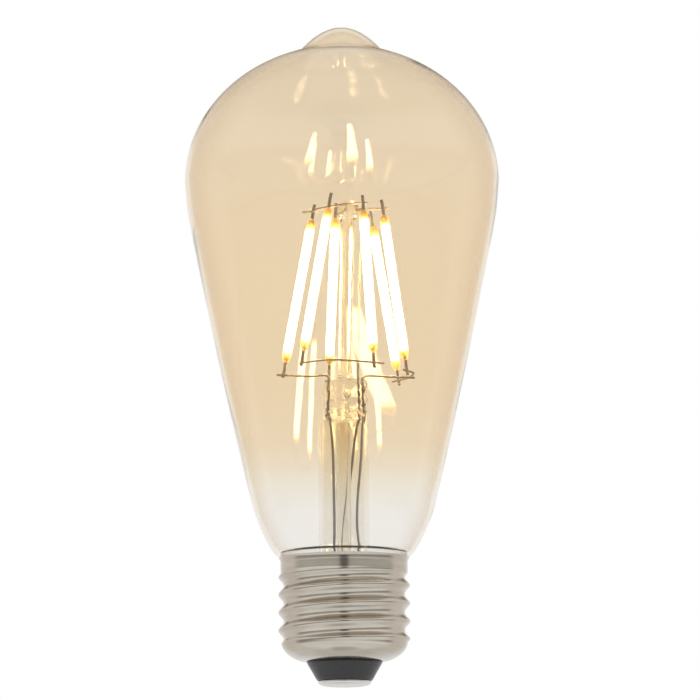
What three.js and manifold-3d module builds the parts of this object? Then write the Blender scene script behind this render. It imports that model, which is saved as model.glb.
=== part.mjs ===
// A tear-drop filament lamp on an E27 screw cap: six LED filaments on a glass stem, and a wireless driver in
// the cap. Millimetres, +Z up. The origin is the middle of the centre contact's flat face, on the axis; -Y is
// the front.
import * as THREE from "three";
import { mergeVertices } from "three/addons/utils/BufferGeometryUtils.js";
import Module from "manifold-3d";

const wasm = await Module();
wasm.setup();

// ---------- driving dimensions ----------

const CLEARANCE = 0.15; // between pieces that sit in or on each other
const WELD_GAP = 0.05; // between wires and tabs that are welded together

// Glass envelope
const BULB_LENGTH = 136; // contact face to the tip
const GLASS_DIAMETER = 64.6; // at the widest place
const GLASS_WALL = 0.9;
const DOME_RISE = 28; // widest place to the crown of the dome
const TIP_RISE = 4.5; // crown of the dome to the tip
const TIP_RADIUS = 9; // where the sealed-off tip leaves the dome
const NECK_DEPTH = 6.9; // how far the glass neck goes down into the cap

// E27 screw cap
const CAP_HEIGHT = 25.9; // contact face to the rim
const THREAD_DIAMETER = 26.4; // over the crests
const THREAD_DEPTH = 1.05;
const THREAD_PITCH = 3.629;
const TOP_CREST_DROP = 2.3; // topmost crest on the +X side, below the thread's end
const SKIRT_HEIGHT = 3.3; // plain wall above the thread
const SKIRT_STEP = 0.4; // skirt, inside the crests
const SHELL_TAPER = 3.6; // height over which the shell curves in below the thread
const TAPER_POWER = 1.7; // roundness of that curve: 1 is a cone, 2 a quarter of an ellipse
const RIM_FLARE = 0.35;
const SHELL_WALL = 0.3;
const SHELL_FLOOR = 5; // lower edge of the shell
const SHELL_MOUTH_DIAMETER = 15.4; // the hole that the insulator fills
const CEMENT_HEIGHT = 4.4;

// Insulator and centre contact
const CONTACT_DIAMETER = 10.7;
const CONTACT_FACE_DIAMETER = 6;
const CONTACT_THICKNESS = 1.05;
const INSULATOR_FOOT_DIAMETER = 11.2;
const INSULATOR_BORE_DIAMETER = 2.2;
const RIVET_DIAMETER = 1.6;
const RIVET_LENGTH = 2.4;

// Glass stem
const STEM_DIAMETER = 10.2;
const STEM_WALL = 0.9;
const SHOULDER_HEIGHT = 52.5; // contact face to where the tube starts to close
const SHOULDER_RISE = 3.5; // over which the tube becomes the flat press
const PRESS_HEIGHT = 6.5;
const PRESS_WIDTH = 8.9;
const PRESS_THICKNESS = 4.2;
const PRESS_OFFSET = 0.45; // press and cage, beside the lamp's axis
const EXHAUST_DIAMETER = 3;
const EXHAUST_BORE = 1.8;
const EXHAUST_TAIL = 5; // sealed end, below the glass neck
const VENT_DIAMETER = 1.4; // hole that joins the exhaust tube to the bulb
const VENT_PLACE = { x: 0.8, drop: 2.9 }; // from the lamp's axis and below the press's top
const PILLAR_DIAMETER = 2.8;
const BEAD_CROWN = 2; // top of the bead, above the upper link wires
const BEAD_DIAMETER = 4.6;
const BEAD_HEIGHT = 3.6;
const MOUNT_LEAN = THREE.MathUtils.degToRad(1.2); // of all that stands on the press, towards +X

// Wires
const OUTER_LEAD_DIAMETER = 0.5;
const SEAL_WIRE_DIAMETER = 0.4;
const INNER_LEAD_DIAMETER = 0.5;
const LINK_DIAMETER = 0.44;
const RETURN_DIAMETER = 0.3;
const LEAD_EMBED = 2; // inner lead, held in the press
const LEAD_OVERREACH = 1.8; // right lead, outside the filaments' lower ends
const LEAD_LIFT = 0.7; // inner leads, above the press
const LINK_ON_TAB = 1; // upper link wires, above the strips

// LED filaments
const STRIP_LENGTH = 30.6;
const STRIP_DIAMETER = 1.8;
const TAB = { length: 3, width: 0.65, thickness: 0.3 };
const CAGE_BOTTOM_RADIUS = 12.3;
const CAGE_TOP_RADIUS = 7.5;
// Each filament's bearing at its lower end, in degrees from +X towards the front, how far its upper end is
// turned on from that, how far it sits off the common height, how its tabs are turned about their own line,
// and how far down its lower tab the wire is welded, as a share of the tab.
const FILAMENTS = [
  { bearing: 184, twist: 8, lift: -0.5, turn: 90, weld: 0.87 },
  { bearing: 133, twist: -12, lift: 0.4, turn: 60, weld: 0.77 },
  { bearing: 254, twist: -4, lift: 0.9, turn: 0, weld: 0.83 },
  { bearing: 63, twist: 2, lift: -0.1, turn: 0, weld: 0.63 },
  { bearing: 330, twist: -16, lift: -0.9, turn: 0, weld: 0.7 },
  { bearing: 8, twist: 4, lift: 0, turn: 90, weld: 0.67 },
];

// Driver in the cap
const BOARD_THICKNESS = 1;
const BOARD_FACE_Y = 3.1; // front face of the board
const BAY_GAP = 0.7; // above the insulator and below the glass, left free of driver parts
const CAPACITOR_DIAMETER = 6;
const INDUCTOR_DIAMETER = 5.8;
const RESISTOR_DIAMETER = 2.2;
const CHIP_GAP = 0.5; // between the parts on the board's back
const CHIPS = { bridge_rectifier: [3.6, 1.4, 3.4], driver_chip: [3.9, 1.4, 4.9], wireless_module: [5.2, 1.6, 7] };

// ---------- derived sizes ----------

const glassRadius = GLASS_DIAMETER / 2;
const widestHeight = BULB_LENGTH - TIP_RISE - DOME_RISE;
const crestRadius = THREAD_DIAMETER / 2;
const rootRadius = crestRadius - THREAD_DEPTH;
const skirtRadius = crestRadius - SKIRT_STEP;
const threadTop = CAP_HEIGHT - SKIRT_HEIGHT; // where the thread has run out into the skirt
const threadBottom = SHELL_FLOOR + SHELL_TAPER; // where the shell starts to curve in
const topCrest = threadTop - TOP_CREST_DROP;
const mouthRadius = SHELL_MOUTH_DIAMETER / 2;
const taperRadius = (crestRadius + rootRadius) / 2;
const threadBore = rootRadius - SHELL_WALL; // narrowest place inside the shell
const neckRadius = threadBore - 2 * CLEARANCE - 0.55; // leaves room for the cement
const neckBottom = CAP_HEIGHT - NECK_DEPTH;
const rimGlassRadius = skirtRadius - SHELL_WALL + 0.25;
const stemRadius = STEM_DIAMETER / 2;
const exhaustTip = neckBottom - EXHAUST_TAIL;
const flangeRadius = neckRadius - GLASS_WALL - CLEARANCE;
const pressBottom = SHOULDER_HEIGHT + SHOULDER_RISE;
const pressTop = pressBottom + PRESS_HEIGHT;
const ventHeight = pressTop - VENT_PLACE.drop;
const leadHole = INNER_LEAD_DIAMETER + 2 * CLEARANCE;
const outerRoom = stemRadius - STEM_WALL - OUTER_LEAD_DIAMETER / 2 - CLEARANCE; // for a lead, inside the tube
// From the press's middle to the outermost lead: as far as both the press and the tube below it allow.
const leadRoom = Math.min((PRESS_WIDTH - leadHole) / 2 - 0.5, (outerRoom - PRESS_OFFSET) / 0.94);
// Where the three leads go through the press, from its middle.
const leads = {
  left: { x: -0.9 * leadRoom, y: 0 },
  middle: { x: 0.73 * leadRoom, y: 0.7 },
  right: { x: 0.945 * leadRoom, y: -0.1 },
};
const leadReach = CAGE_BOTTOM_RADIUS + LEAD_OVERREACH; // right lead, from the press's middle
// Heights above the press: the strips' lower ends, which put the first filament's weld at the left lead, and
// the upper links.
const cageLift = LEAD_LIFT - FILAMENTS[0].lift + FILAMENTS[0].weld * TAB.length;
const cageRise = Math.sqrt(STRIP_LENGTH ** 2 - (CAGE_BOTTOM_RADIUS - CAGE_TOP_RADIUS) ** 2);
const topLinkLift = cageLift + cageRise + LINK_ON_TAB;
const pillarHeight = topLinkLift + BEAD_CROWN;

const SMOOTH = 32; // facets round the large turned pieces
const FINE = 20; // facets round the stem pieces
const SMALL = 10; // facets round filaments and driver parts

// ---------- materials ----------

const finish = (color, roughness, metalness = 0, more = {}) =>
  new THREE.MeshStandardMaterial({ color, roughness, metalness, ...more });

const AMBER_GLASS = finish(0xe6c894, 0.05, 0, { transparent: true, opacity: 0.35 });
const CLEAR_GLASS = finish(0xe9e4d4, 0.06, 0, { transparent: true, opacity: 0.45 });
const NICKEL = finish(0xb9b3a8, 0.28, 1);
const TIN = finish(0xcdcdc9, 0.35, 1);
const INSULATION = finish(0x2c2b2f, 0.35);
const CEMENT = finish(0xcfc8bb, 0.9);
const PHOSPHOR = finish(0xf6d27a, 0.5);
const TAB_STEEL = finish(0x8d8478, 0.4, 1);
const LEAD_WIRE = finish(0x7c6a55, 0.45, 1);
const COPPER = finish(0xb07a50, 0.4, 1);
const BOARD_RESIN = finish(0x2f6b3f, 0.6);
const CHIP_RESIN = finish(0x1d1d20, 0.5);
const SLEEVE = finish(0x2a3350, 0.4);
const FERRITE = finish(0x3a3a3c, 0.7);
const SHIELD = finish(0xc4c6c8, 0.3, 1);
const RESISTOR_COAT = finish(0x8fb3a8, 0.6);

// ---------- shape helpers ----------

// A point at a bearing and radius, with bearings counted from +X towards the front.
function polar(bearing, radius, height) {
  const angle = -THREE.MathUtils.degToRad(bearing);
  return new THREE.Vector3(radius * Math.cos(angle), radius * Math.sin(angle), height);
}

// Turns an [radius, height] outline about the Z axis. The outline runs from the axis to the axis with the
// body on its left, or closes on itself when it is given as a loop.
function turned(outline, { loop = false, facets = FINE } = {}) {
  const points = (loop ? [...outline, outline[0]] : outline).map(([r, z]) => new THREE.Vector2(r, z));
  return new THREE.LatheGeometry(points, facets).rotateX(Math.PI / 2);
}

// Joins rings of points into one closed body. rings[k](angle) is a point of ring k, the body is on the inner
// side of rings that climb, and the rings either close on themselves or end at points on the axis.
function ringed(rings, facets, loop) {
  const place = [];
  const index = [];
  for (const ring of rings)
    for (let i = 0; i < facets; i++) place.push(...ring((2 * Math.PI * i) / facets));
  const spans = loop ? rings.length : rings.length - 1;
  for (let k = 0; k < spans; k++)
    for (let i = 0; i < facets; i++) {
      const low = k * facets;
      const high = ((k + 1) % rings.length) * facets;
      const next = (i + 1) % facets;
      index.push(low + i, low + next, high + next, low + i, high + next, high + i);
    }
  return new THREE.BufferGeometry()
    .setAttribute("position", new THREE.Float32BufferAttribute(place, 3))
    .setIndex(index);
}

// A round bar along a smooth curve through points.
function bar(points, diameter, { steps = 4 * (points.length - 1), sides = 6 } = {}) {
  const section = new THREE.Shape();
  for (let i = 0; i < sides; i++) {
    const angle = (2 * Math.PI * i) / sides;
    section[i ? "lineTo" : "moveTo"]((diameter / 2) * Math.cos(angle), (diameter / 2) * Math.sin(angle));
  }
  section.closePath();
  const extrudePath =
    points.length === 2
      ? new THREE.LineCurve3(...points)
      : new THREE.CatmullRomCurve3(points, false, "centripetal");
  return new THREE.ExtrudeGeometry(section, { steps: points.length === 2 ? 1 : steps, extrudePath });
}

// An upright cylinder from one height to another.
function post(x, y, bottom, top, diameter, sides = SMALL) {
  return new THREE.CylinderGeometry(diameter / 2, diameter / 2, top - bottom, sides)
    .rotateX(Math.PI / 2)
    .translate(x, y, (bottom + top) / 2);
}

// A box from its lowest corner and its size.
function block([x, y, z], [width, depth, height]) {
  return new THREE.BoxGeometry(width, depth, height).translate(x + width / 2, y + depth / 2, z + height / 2);
}

// A geometry as a solid for joining and cutting, and back.
function solid(geometry) {
  const bare = geometry.clone();
  bare.deleteAttribute("normal");
  bare.deleteAttribute("uv");
  const merged = mergeVertices(bare, 1e-4);
  return new wasm.Manifold(
    new wasm.Mesh({
      numProp: 3,
      vertProperties: new Float32Array(merged.attributes.position.array),
      triVerts: new Uint32Array(merged.index.array),
    }),
  );
}

function geometryOf(body) {
  const mesh = body.getMesh();
  const geometry = new THREE.BufferGeometry()
    .setAttribute("position", new THREE.BufferAttribute(mesh.vertProperties, 3))
    .setIndex(new THREE.BufferAttribute(mesh.triVerts, 1));
  geometry.computeVertexNormals();
  return geometry;
}

const cut = (geometry, ...tools) =>
  geometryOf(tools.reduce((body, tool) => body.subtract(solid(tool)), solid(geometry)));

function add(group, name, geometry, material) {
  const mesh = new THREE.Mesh(geometry, material);
  mesh.name = name;
  group.add(mesh);
}

// A blend from 0 to 1 as value goes from low to high.
const ease = (value, low, high) => THREE.MathUtils.smoothstep(value, low, high);

// ---------- glass envelope ----------

// The outside of the glass, from the neck's lower edge to the tip, as [radius, height].
function glassOutline() {
  const bodyRise = widestHeight - CAP_HEIGHT;
  const swell = glassRadius - rimGlassRadius;
  // Share of the way from the rim to the widest place, and share of the growth from the rim's radius.
  const bodyStations = [
    [0.0095, 0.055],
    [0.027, 0.107],
    [0.0526, 0.162],
    [0.105, 0.253],
    [0.182, 0.338],
    [0.31, 0.458],
    [0.566, 0.684],
    [0.8255, 0.898],
    [0.916, 0.967],
    [1, 1],
  ];
  const neck = [
    [neckRadius, neckBottom],
    [neckRadius, neckBottom + 0.45 * NECK_DEPTH],
    [(neckRadius + rimGlassRadius) / 2, CAP_HEIGHT - 1.6],
    [rimGlassRadius, CAP_HEIGHT],
  ];
  const body = bodyStations.map(([up, out]) => [rimGlassRadius + swell * out, CAP_HEIGHT + bodyRise * up]);
  const lower = new THREE.CatmullRomCurve3(
    [...neck, ...body].map(([r, z]) => new THREE.Vector3(r, 0, z)),
    false,
    "centripetal",
  )
    .getPoints(24)
    .map((p) => [p.x, p.z]);
  const tipStart = Math.acos(TIP_RADIUS / glassRadius);
  const dome = [1, 2, 3, 4, 5, 6, 7, 8].map((k) => {
    const angle = (tipStart * k) / 8;
    return [glassRadius * Math.cos(angle), widestHeight + DOME_RISE * Math.sin(angle)];
  });
  const tipBase = dome[dome.length - 1][1];
  const tip = [0.85, 0.65, 0.35, 0].map((share) => [
    TIP_RADIUS * share,
    BULB_LENGTH - (BULB_LENGTH - tipBase) * share * share,
  ]);
  return [...lower, ...dome, ...tip];
}

// The same outline moved inwards by the wall.
function insetOutline(outline, wall) {
  return outline.map(([r, z], k) => {
    const [r0, z0] = outline[Math.max(k - 1, 0)];
    const [r1, z1] = outline[Math.min(k + 1, outline.length - 1)];
    const length = Math.hypot(r1 - r0, z1 - z0);
    if (r === 0) return [0, z - wall];
    return [Math.max(r - (wall * (z1 - z0)) / length, 0.4), z + (wall * (r1 - r0)) / length];
  });
}

function envelope() {
  const outside = glassOutline();
  const inside = insetOutline(outside, GLASS_WALL).reverse();
  return turned([...outside, ...inside], { loop: true, facets: SMOOTH });
}

// ---------- screw cap ----------

// A place on the shell's lower curve, as shares of its reach outwards and downwards.
const taperPlace = (turn) => [Math.cos(turn) ** (2 / TAPER_POWER), Math.sin(turn) ** (2 / TAPER_POWER)];

// Radius of the shell's outside at a height and angle: a right-hand thread that runs out into the plain skirt
// above and into the taper below.
function threadRadius(angle, height) {
  const crest = topCrest + (THREAD_PITCH * angle) / (2 * Math.PI);
  const wave = Math.cos((2 * Math.PI * (height - crest)) / THREAD_PITCH);
  const threaded = taperRadius + (THREAD_DEPTH / 2) * wave;
  const runOut = ease(height, threadTop - 0.7, threadTop + 0.6);
  const runIn = ease(height, threadBottom - 0.2, threadBottom + 1);
  const plain = height > topCrest ? skirtRadius : taperRadius;
  return THREE.MathUtils.lerp(threaded, plain, Math.max(runOut, 1 - runIn));
}

function capShell() {
  const taperReach = taperRadius - mouthRadius;
  const rings = [];
  const inner = [];
  const addRing = (radiusAt, height, normal) => {
    const ring = (inset) => (angle) => {
      const radius = radiusAt(angle) - inset * normal[0];
      return [radius * Math.cos(angle), radius * Math.sin(angle), height - inset * normal[1]];
    };
    rings.push(ring(0));
    inner.unshift(ring(SHELL_WALL));
  };
  for (let k = 0; k < 6; k++) {
    const [out, down] = taperPlace((Math.PI / 2) * (1 - k / 6));
    const normal = [out ** (TAPER_POWER - 1) / taperReach, -(down ** (TAPER_POWER - 1)) / SHELL_TAPER];
    const slope = Math.hypot(...normal);
    addRing(
      () => mouthRadius + taperReach * out,
      threadBottom - SHELL_TAPER * down,
      normal.map((part) => part / slope),
    );
  }
  const threadRows = Math.ceil((5 * (threadTop - threadBottom)) / THREAD_PITCH);
  for (let k = 0; k <= threadRows; k++) {
    const height = THREE.MathUtils.lerp(threadBottom, threadTop + 0.6, k / threadRows);
    addRing((angle) => threadRadius(angle, height), height, [1, 0]);
  }
  addRing(() => skirtRadius, CAP_HEIGHT - 0.9, [1, 0]);
  addRing(() => skirtRadius + RIM_FLARE, CAP_HEIGHT, [1, 0]);
  return ringed([...rings, ...inner], SMOOTH, true);
}

function basingCement() {
  const bottom = neckBottom + 0.6;
  const top = bottom + CEMENT_HEIGHT;
  const bore = neckRadius + CLEARANCE;
  const wide = skirtRadius - SHELL_WALL - CLEARANCE;
  const narrow = threadBore - CLEARANCE;
  const step = Math.min(threadTop + 0.8, top - 0.4);
  const topBore = Math.min((neckRadius + rimGlassRadius) / 2 + CLEARANCE, wide - 0.2);
  return turned(
    [
      [bore, bottom],
      [narrow, bottom],
      [narrow, step - 0.3],
      [wide, step],
      [wide, top],
      [topBore, top],
      [bore, Math.max(neckBottom + 0.45 * NECK_DEPTH, bottom + 0.5)],
    ],
    { loop: true },
  );
}

// ---------- insulator and contact ----------

function insulator() {
  const foot = INSULATOR_FOOT_DIAMETER / 2;
  const neck = mouthRadius - 2 * CLEARANCE;
  const bore = INSULATOR_BORE_DIAMETER / 2;
  const reach = taperRadius - mouthRadius - SHELL_WALL - CLEARANCE;
  const drop = SHELL_TAPER - SHELL_WALL - CLEARANCE;
  const bulge = [75, 55, 38, 22].map((degrees) => {
    const [out, down] = taperPlace(THREE.MathUtils.degToRad(degrees));
    return [mouthRadius + reach * out, threadBottom - drop * down];
  });
  const top = bulge[bulge.length - 1][1];
  return turned(
    [
      [bore, CONTACT_THICKNESS + WELD_GAP],
      [foot, CONTACT_THICKNESS + WELD_GAP],
      [neck - 0.5, SHELL_FLOOR - 0.6],
      [neck - 0.15, SHELL_FLOOR - 0.1],
      [neck, SHELL_FLOOR + SHELL_WALL],
      ...bulge,
      [bore, top],
    ],
    { loop: true },
  );
}

function centreContact() {
  const edge = CONTACT_DIAMETER / 2;
  const face = CONTACT_FACE_DIAMETER / 2;
  const round = [0.25, 0.5, 0.75, 1].map((share) => [
    face + (edge - face) * Math.sin((share * Math.PI) / 2),
    0.75 * CONTACT_THICKNESS * (1 - Math.cos((share * Math.PI) / 2)),
  ]);
  return turned([
    [0, 0],
    [face, 0],
    ...round,
    [edge, CONTACT_THICKNESS],
    [RIVET_DIAMETER / 2, CONTACT_THICKNESS],
    [RIVET_DIAMETER / 2, CONTACT_THICKNESS + RIVET_LENGTH],
    [0, CONTACT_THICKNESS + RIVET_LENGTH],
  ]);
}

// ---------- glass stem ----------

// The flared tube whose top is squeezed into the flat press. Each ring is a rounded outline of half-widths a
// and b.
function stem() {
  const ring = (a, b, height, power = 2) => (angle) => {
    const cos = Math.cos(angle);
    const sin = Math.sin(angle);
    return [
      PRESS_OFFSET * ease(height, SHOULDER_HEIGHT, pressBottom) + a * Math.sign(cos) * Math.abs(cos) ** (2 / power),
      b * Math.sign(sin) * Math.abs(sin) ** (2 / power),
      height,
    ];
  };
  const inside = stemRadius - STEM_WALL;
  const halfWidth = PRESS_WIDTH / 2;
  const halfThickness = PRESS_THICKNESS / 2;
  const flare = [
    [1, 0],
    [0.98, 1],
    [0.5, 2.2],
    [0.14, 4.6],
    [0, 8.5],
  ].map(([share, rise]) => [THREE.MathUtils.lerp(stemRadius, flangeRadius, share), rise]);
  const closing = [0.25, 0.5, 0.75, 1].map((share) => {
    const blend = ease(share, 0, 1);
    return ring(
      THREE.MathUtils.lerp(stemRadius, halfWidth - 0.3, blend),
      THREE.MathUtils.lerp(stemRadius, halfThickness, blend),
      THREE.MathUtils.lerp(SHOULDER_HEIGHT, pressBottom, share),
      THREE.MathUtils.lerp(2, 3, blend),
    );
  });
  const outer = [
    ...flare.map(([radius, rise]) => ring(radius, radius, neckBottom + rise)),
    ring(stemRadius, stemRadius, SHOULDER_HEIGHT),
    ...closing,
    ring(halfWidth, halfThickness, (pressBottom + pressTop) / 2, 3.2),
    ring(halfWidth, halfThickness, pressTop - 1, 3.2),
    ring(halfWidth - 0.7, halfThickness - 0.5, pressTop, 3),
    ring(0, 0, pressTop),
  ];
  const inner = [
    ring(0, 0, pressBottom - 1.6),
    ring(0.6 * inside, 0.45 * inside, pressBottom - 1.9),
    ring(0.9 * inside, 0.75 * inside, SHOULDER_HEIGHT + 0.7),
    ring(inside, inside, SHOULDER_HEIGHT - 1.2),
    ...flare.reverse().map(([radius, rise]) => ring(radius - STEM_WALL, radius - STEM_WALL, neckBottom + rise - 0.4)),
  ];
  // The body is a cup: its outer rings climb to the top point, its inner rings come down from a lower point,
  // and its lower edge joins the two.
  const climb = [...inner, ...outer];
  const holes = [
    ...Object.values(leads).map(({ x, y }) =>
      post(PRESS_OFFSET + x, y, SHOULDER_HEIGHT - 2, pressTop + 1, leadHole),
    ),
    post(VENT_PLACE.x, 0, pressBottom - 3, ventHeight, VENT_DIAMETER),
    new THREE.CylinderGeometry(VENT_DIAMETER / 2, VENT_DIAMETER / 2, PRESS_THICKNESS, SMALL).translate(
      VENT_PLACE.x,
      -PRESS_THICKNESS / 2,
      ventHeight,
    ),
  ];
  return cut(ringed(climb, FINE, false), ...holes);
}

function exhaustTube() {
  const outside = EXHAUST_DIAMETER / 2;
  const bore = EXHAUST_BORE / 2;
  const top = SHOULDER_HEIGHT + 0.4;
  return turned([
    [0, exhaustTip],
    [0.5 * outside, exhaustTip + 0.4],
    [outside, exhaustTip + 2.4],
    [outside, top],
    [bore, top],
    [bore, exhaustTip + 3],
    [0, exhaustTip + 1.8],
  ]);
}

// ---------- filament cage, with heights counted from the press ----------

// A filament's lower and upper ends.
function stripEnds({ bearing, twist, lift }) {
  const lower = polar(bearing, CAGE_BOTTOM_RADIUS, cageLift + lift);
  const upper = polar(bearing + twist, CAGE_TOP_RADIUS, 0);
  const across = Math.hypot(upper.x - lower.x, upper.y - lower.y);
  upper.z = lower.z + Math.sqrt(STRIP_LENGTH ** 2 - across ** 2);
  return [lower, upper];
}

// Directions away from the axis, along growing bearings and up, at a filament's line at a height.
function axesAt(filament, height) {
  const [lower, upper] = stripEnds(filament);
  const centre = lower.clone().lerp(upper, (height - lower.z) / (upper.z - lower.z));
  const outward = new THREE.Vector3(centre.x, centre.y, 0).normalize();
  const onward = new THREE.Vector3(outward.y, -outward.x, 0);
  return { centre, outward, onward };
}

// Where a wire lies against a filament's tab at a height: on its inner side, or on the side that facing names
// as parts of outward and onward. The wire is followed further by shift, as distances outward, onward and up.
function weldPoint(filament, height, { diameter = LINK_DIAMETER, facing = [-1, 0], shift = [0, 0, 0] } = {}) {
  const { centre, outward, onward } = axesAt(filament, height);
  const turn = THREE.MathUtils.degToRad(filament.turn);
  const [wide, thin] = facing[0] ? [Math.sin(turn), Math.cos(turn)] : [Math.cos(turn), Math.sin(turn)];
  const standOff = 1.05 * ((TAB.width * wide + TAB.thickness * thin) / 2 + diameter / 2) + WELD_GAP;
  return centre
    .addScaledVector(outward, facing[0] * standOff + shift[0])
    .addScaledVector(onward, facing[1] * standOff + shift[1])
    .add(new THREE.Vector3(0, 0, shift[2]));
}

const weldHeight = ({ lift, weld }) => cageLift + lift - weld * TAB.length;
const lowerWeld = (filament, options) => weldPoint(filament, weldHeight(filament), options);
const upperWeld = (filament, rise, options) => weldPoint(filament, topLinkLift + rise, options);

// Builds one filament upright on the Z axis and leans it into its place in the cage.
function addFilament(group, filament, number) {
  const [lower, upper] = stripEnds(filament);
  const along = upper.clone().sub(lower).normalize();
  const { outward } = axesAt(filament, lower.z);
  const face = outward.addScaledVector(along, -outward.dot(along)).normalize();
  const holder = new THREE.Group();
  holder.position.copy(lower);
  holder.setRotationFromMatrix(new THREE.Matrix4().makeBasis(face, along.clone().cross(face), along));
  const radius = STRIP_DIAMETER / 2;
  const strip = turned(
    [
      [0, 0],
      [0.7 * radius, 0.15],
      [radius, 0.9],
      [radius, STRIP_LENGTH - 0.9],
      [0.7 * radius, STRIP_LENGTH - 0.15],
      [0, STRIP_LENGTH],
    ],
    { facets: SMALL },
  );
  const tab = (bottom) =>
    block([-TAB.thickness / 2, -TAB.width / 2, bottom], [TAB.thickness, TAB.width, TAB.length]).rotateZ(
      THREE.MathUtils.degToRad(filament.turn),
    );
  add(holder, `filament_${number}_strip`, strip, PHOSPHOR);
  add(holder, `filament_${number}_lower_tab`, tab(-TAB.length - WELD_GAP), TAB_STEEL);
  add(holder, `filament_${number}_upper_tab`, tab(STRIP_LENGTH + WELD_GAP), TAB_STEEL);
  group.add(holder);
}

// The wires that join the filaments, each as its points and its diameter. The left lead feeds the first and
// third filaments, the right lead the fifth and sixth, and the middle lead meets the front link and the
// return wire.
function cageWires() {
  const [left, frontLeft, back, frontRight, backRight, right] = FILAMENTS;
  const at = (x, y, z) => new THREE.Vector3(x, y, z);
  const beadRadius = BEAD_DIAMETER / 2;
  const away = (INNER_LEAD_DIAMETER + LINK_DIAMETER) / 2 + WELD_GAP;
  const thick = { diameter: INNER_LEAD_DIAMETER, facing: [0, -1] };
  const lowerFront = Math.hypot(lowerWeld(frontRight).x, lowerWeld(frontRight).y);
  const upperFront = Math.hypot(upperWeld(frontRight, 0.4).x, upperWeld(frontRight, 0.4).y);
  const meetY = -Math.sqrt(lowerFront ** 2 - leads.middle.x ** 2);
  const meet = at(leads.middle.x, meetY, weldHeight(frontRight) - LINK_DIAMETER - 0.1);
  const behind = { facing: [0, -1] }; // on the side of smaller bearings
  const stub = polar(352, beadRadius - 1.2, topLinkLift + 0.2);
  return {
    inner_lead_left: [
      [
        at(leads.left.x, leads.left.y, -LEAD_EMBED),
        at(leads.left.x, leads.left.y, 0.1),
        at(leads.left.x - 0.6, 0.1, LEAD_LIFT),
        at(leads.left.x - 4, 0.5, LEAD_LIFT - 0.1),
        lowerWeld(left, { ...thick, shift: [-0.6, 0, 0] }),
        lowerWeld(left, { ...thick, shift: [1.2, 0, 0] }),
      ],
      INNER_LEAD_DIAMETER,
    ],
    inner_lead_middle: [
      [
        at(leads.middle.x, leads.middle.y, -LEAD_EMBED),
        at(leads.middle.x, leads.middle.y, 0),
        at(leads.middle.x, leads.middle.y - 0.5, LEAD_LIFT),
        at(leads.middle.x, -5, LEAD_LIFT + 0.2),
        meet,
      ],
      LINK_DIAMETER,
    ],
    inner_lead_right: [
      [
        at(leads.right.x, leads.right.y, -LEAD_EMBED),
        at(leads.right.x, leads.right.y, 0),
        at(leads.right.x + 0.9, 0.1, LEAD_LIFT),
        at(leads.right.x + 4.5, 0.5, LEAD_LIFT + 0.05),
        at(leadReach, 1.4, LEAD_LIFT),
      ],
      INNER_LEAD_DIAMETER,
    ],
    lower_link_back: [
      [
        at(leads.left.x - 0.3, away + 0.15, LEAD_LIFT),
        at(leads.left.x - 0.5, 5, LEAD_LIFT + 0.5),
        lowerWeld(back),
      ],
      LINK_DIAMETER,
    ],
    lower_link_front: [
      [
        lowerWeld(frontLeft, { shift: [0, 1.1, 0] }),
        lowerWeld(frontLeft),
        polar(108, lowerFront + 0.1, weldHeight(frontLeft) + 0.15),
        polar(86, lowerFront + 0.1, weldHeight(frontLeft) + 0.05),
        lowerWeld(frontRight),
        lowerWeld(frontRight, { shift: [0, -2.4, 0] }),
      ],
      LINK_DIAMETER,
    ],
    lower_link_right: [
      [
        lowerWeld(right, { shift: [0, 0.9, 0] }),
        lowerWeld(right),
        at(leadReach - 0.2, 0.3, LEAD_LIFT + away + 0.35),
        at(leadReach - 1.4, 4.2, LEAD_LIFT + away - 0.15),
        lowerWeld(backRight),
        lowerWeld(backRight, { shift: [0, -1.9, 0] }),
      ],
      LINK_DIAMETER,
    ],
    return_wire: [
      [
        at(leads.middle.x, meet.y + away, meet.z + 1.1),
        at(leads.middle.x, -0.6 * CAGE_BOTTOM_RADIUS, 0.23 * topLinkLift),
        at(leads.middle.x, -0.32 * CAGE_BOTTOM_RADIUS, 0.63 * topLinkLift),
        at(beadRadius + 0.8, -0.6, topLinkLift - 0.5),
      ],
      RETURN_DIAMETER,
    ],
    upper_link_front: [
      [
        upperWeld(left, 0, behind).add(at(-2.1, 0.9, 0)),
        upperWeld(left, 0, behind),
        polar(158, upperFront, topLinkLift - 0.3),
        upperWeld(frontLeft, -0.4),
        polar(92, upperFront, topLinkLift),
        upperWeld(frontRight, 0.4),
        upperWeld(frontRight, 0.4, { shift: [0, -1.1, 0.1] }),
      ],
      LINK_DIAMETER,
    ],
    upper_link_right: [
      [
        upperWeld(right, 0.3, { ...behind, shift: [1.1, 0, 0] }),
        upperWeld(right, 0.3, behind),
        polar(8, beadRadius + 0.6, topLinkLift + 0.3),
        stub,
        polar(330, beadRadius + 0.6, topLinkLift + 0.2),
        upperWeld(backRight, 0.2, behind),
      ],
      LINK_DIAMETER,
    ],
    upper_cross_wire: [
      [
        upperWeld(back, 0.4),
        polar(back.bearing, beadRadius, topLinkLift + 0.2),
        polar(96, beadRadius, topLinkLift + 0.2),
        polar(92, upperFront - LINK_DIAMETER - WELD_GAP, topLinkLift),
      ],
      LINK_DIAMETER,
    ],
  };
}

function pillar(holes) {
  const rod = PILLAR_DIAMETER / 2;
  const bead = BEAD_DIAMETER / 2;
  const beadBottom = pillarHeight - BEAD_HEIGHT;
  const body = turned([
    [0, CLEARANCE],
    [rod + 0.3, CLEARANCE],
    [rod, CLEARANCE + 1.2],
    [rod, beadBottom - 1.2],
    [0.85 * bead, beadBottom + 0.2 * BEAD_HEIGHT],
    [bead, beadBottom + 0.5 * BEAD_HEIGHT],
    [0.8 * bead, beadBottom + 0.88 * BEAD_HEIGHT],
    [0, pillarHeight],
  ]);
  return cut(body, ...holes);
}

// ---------- assembly ----------

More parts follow.
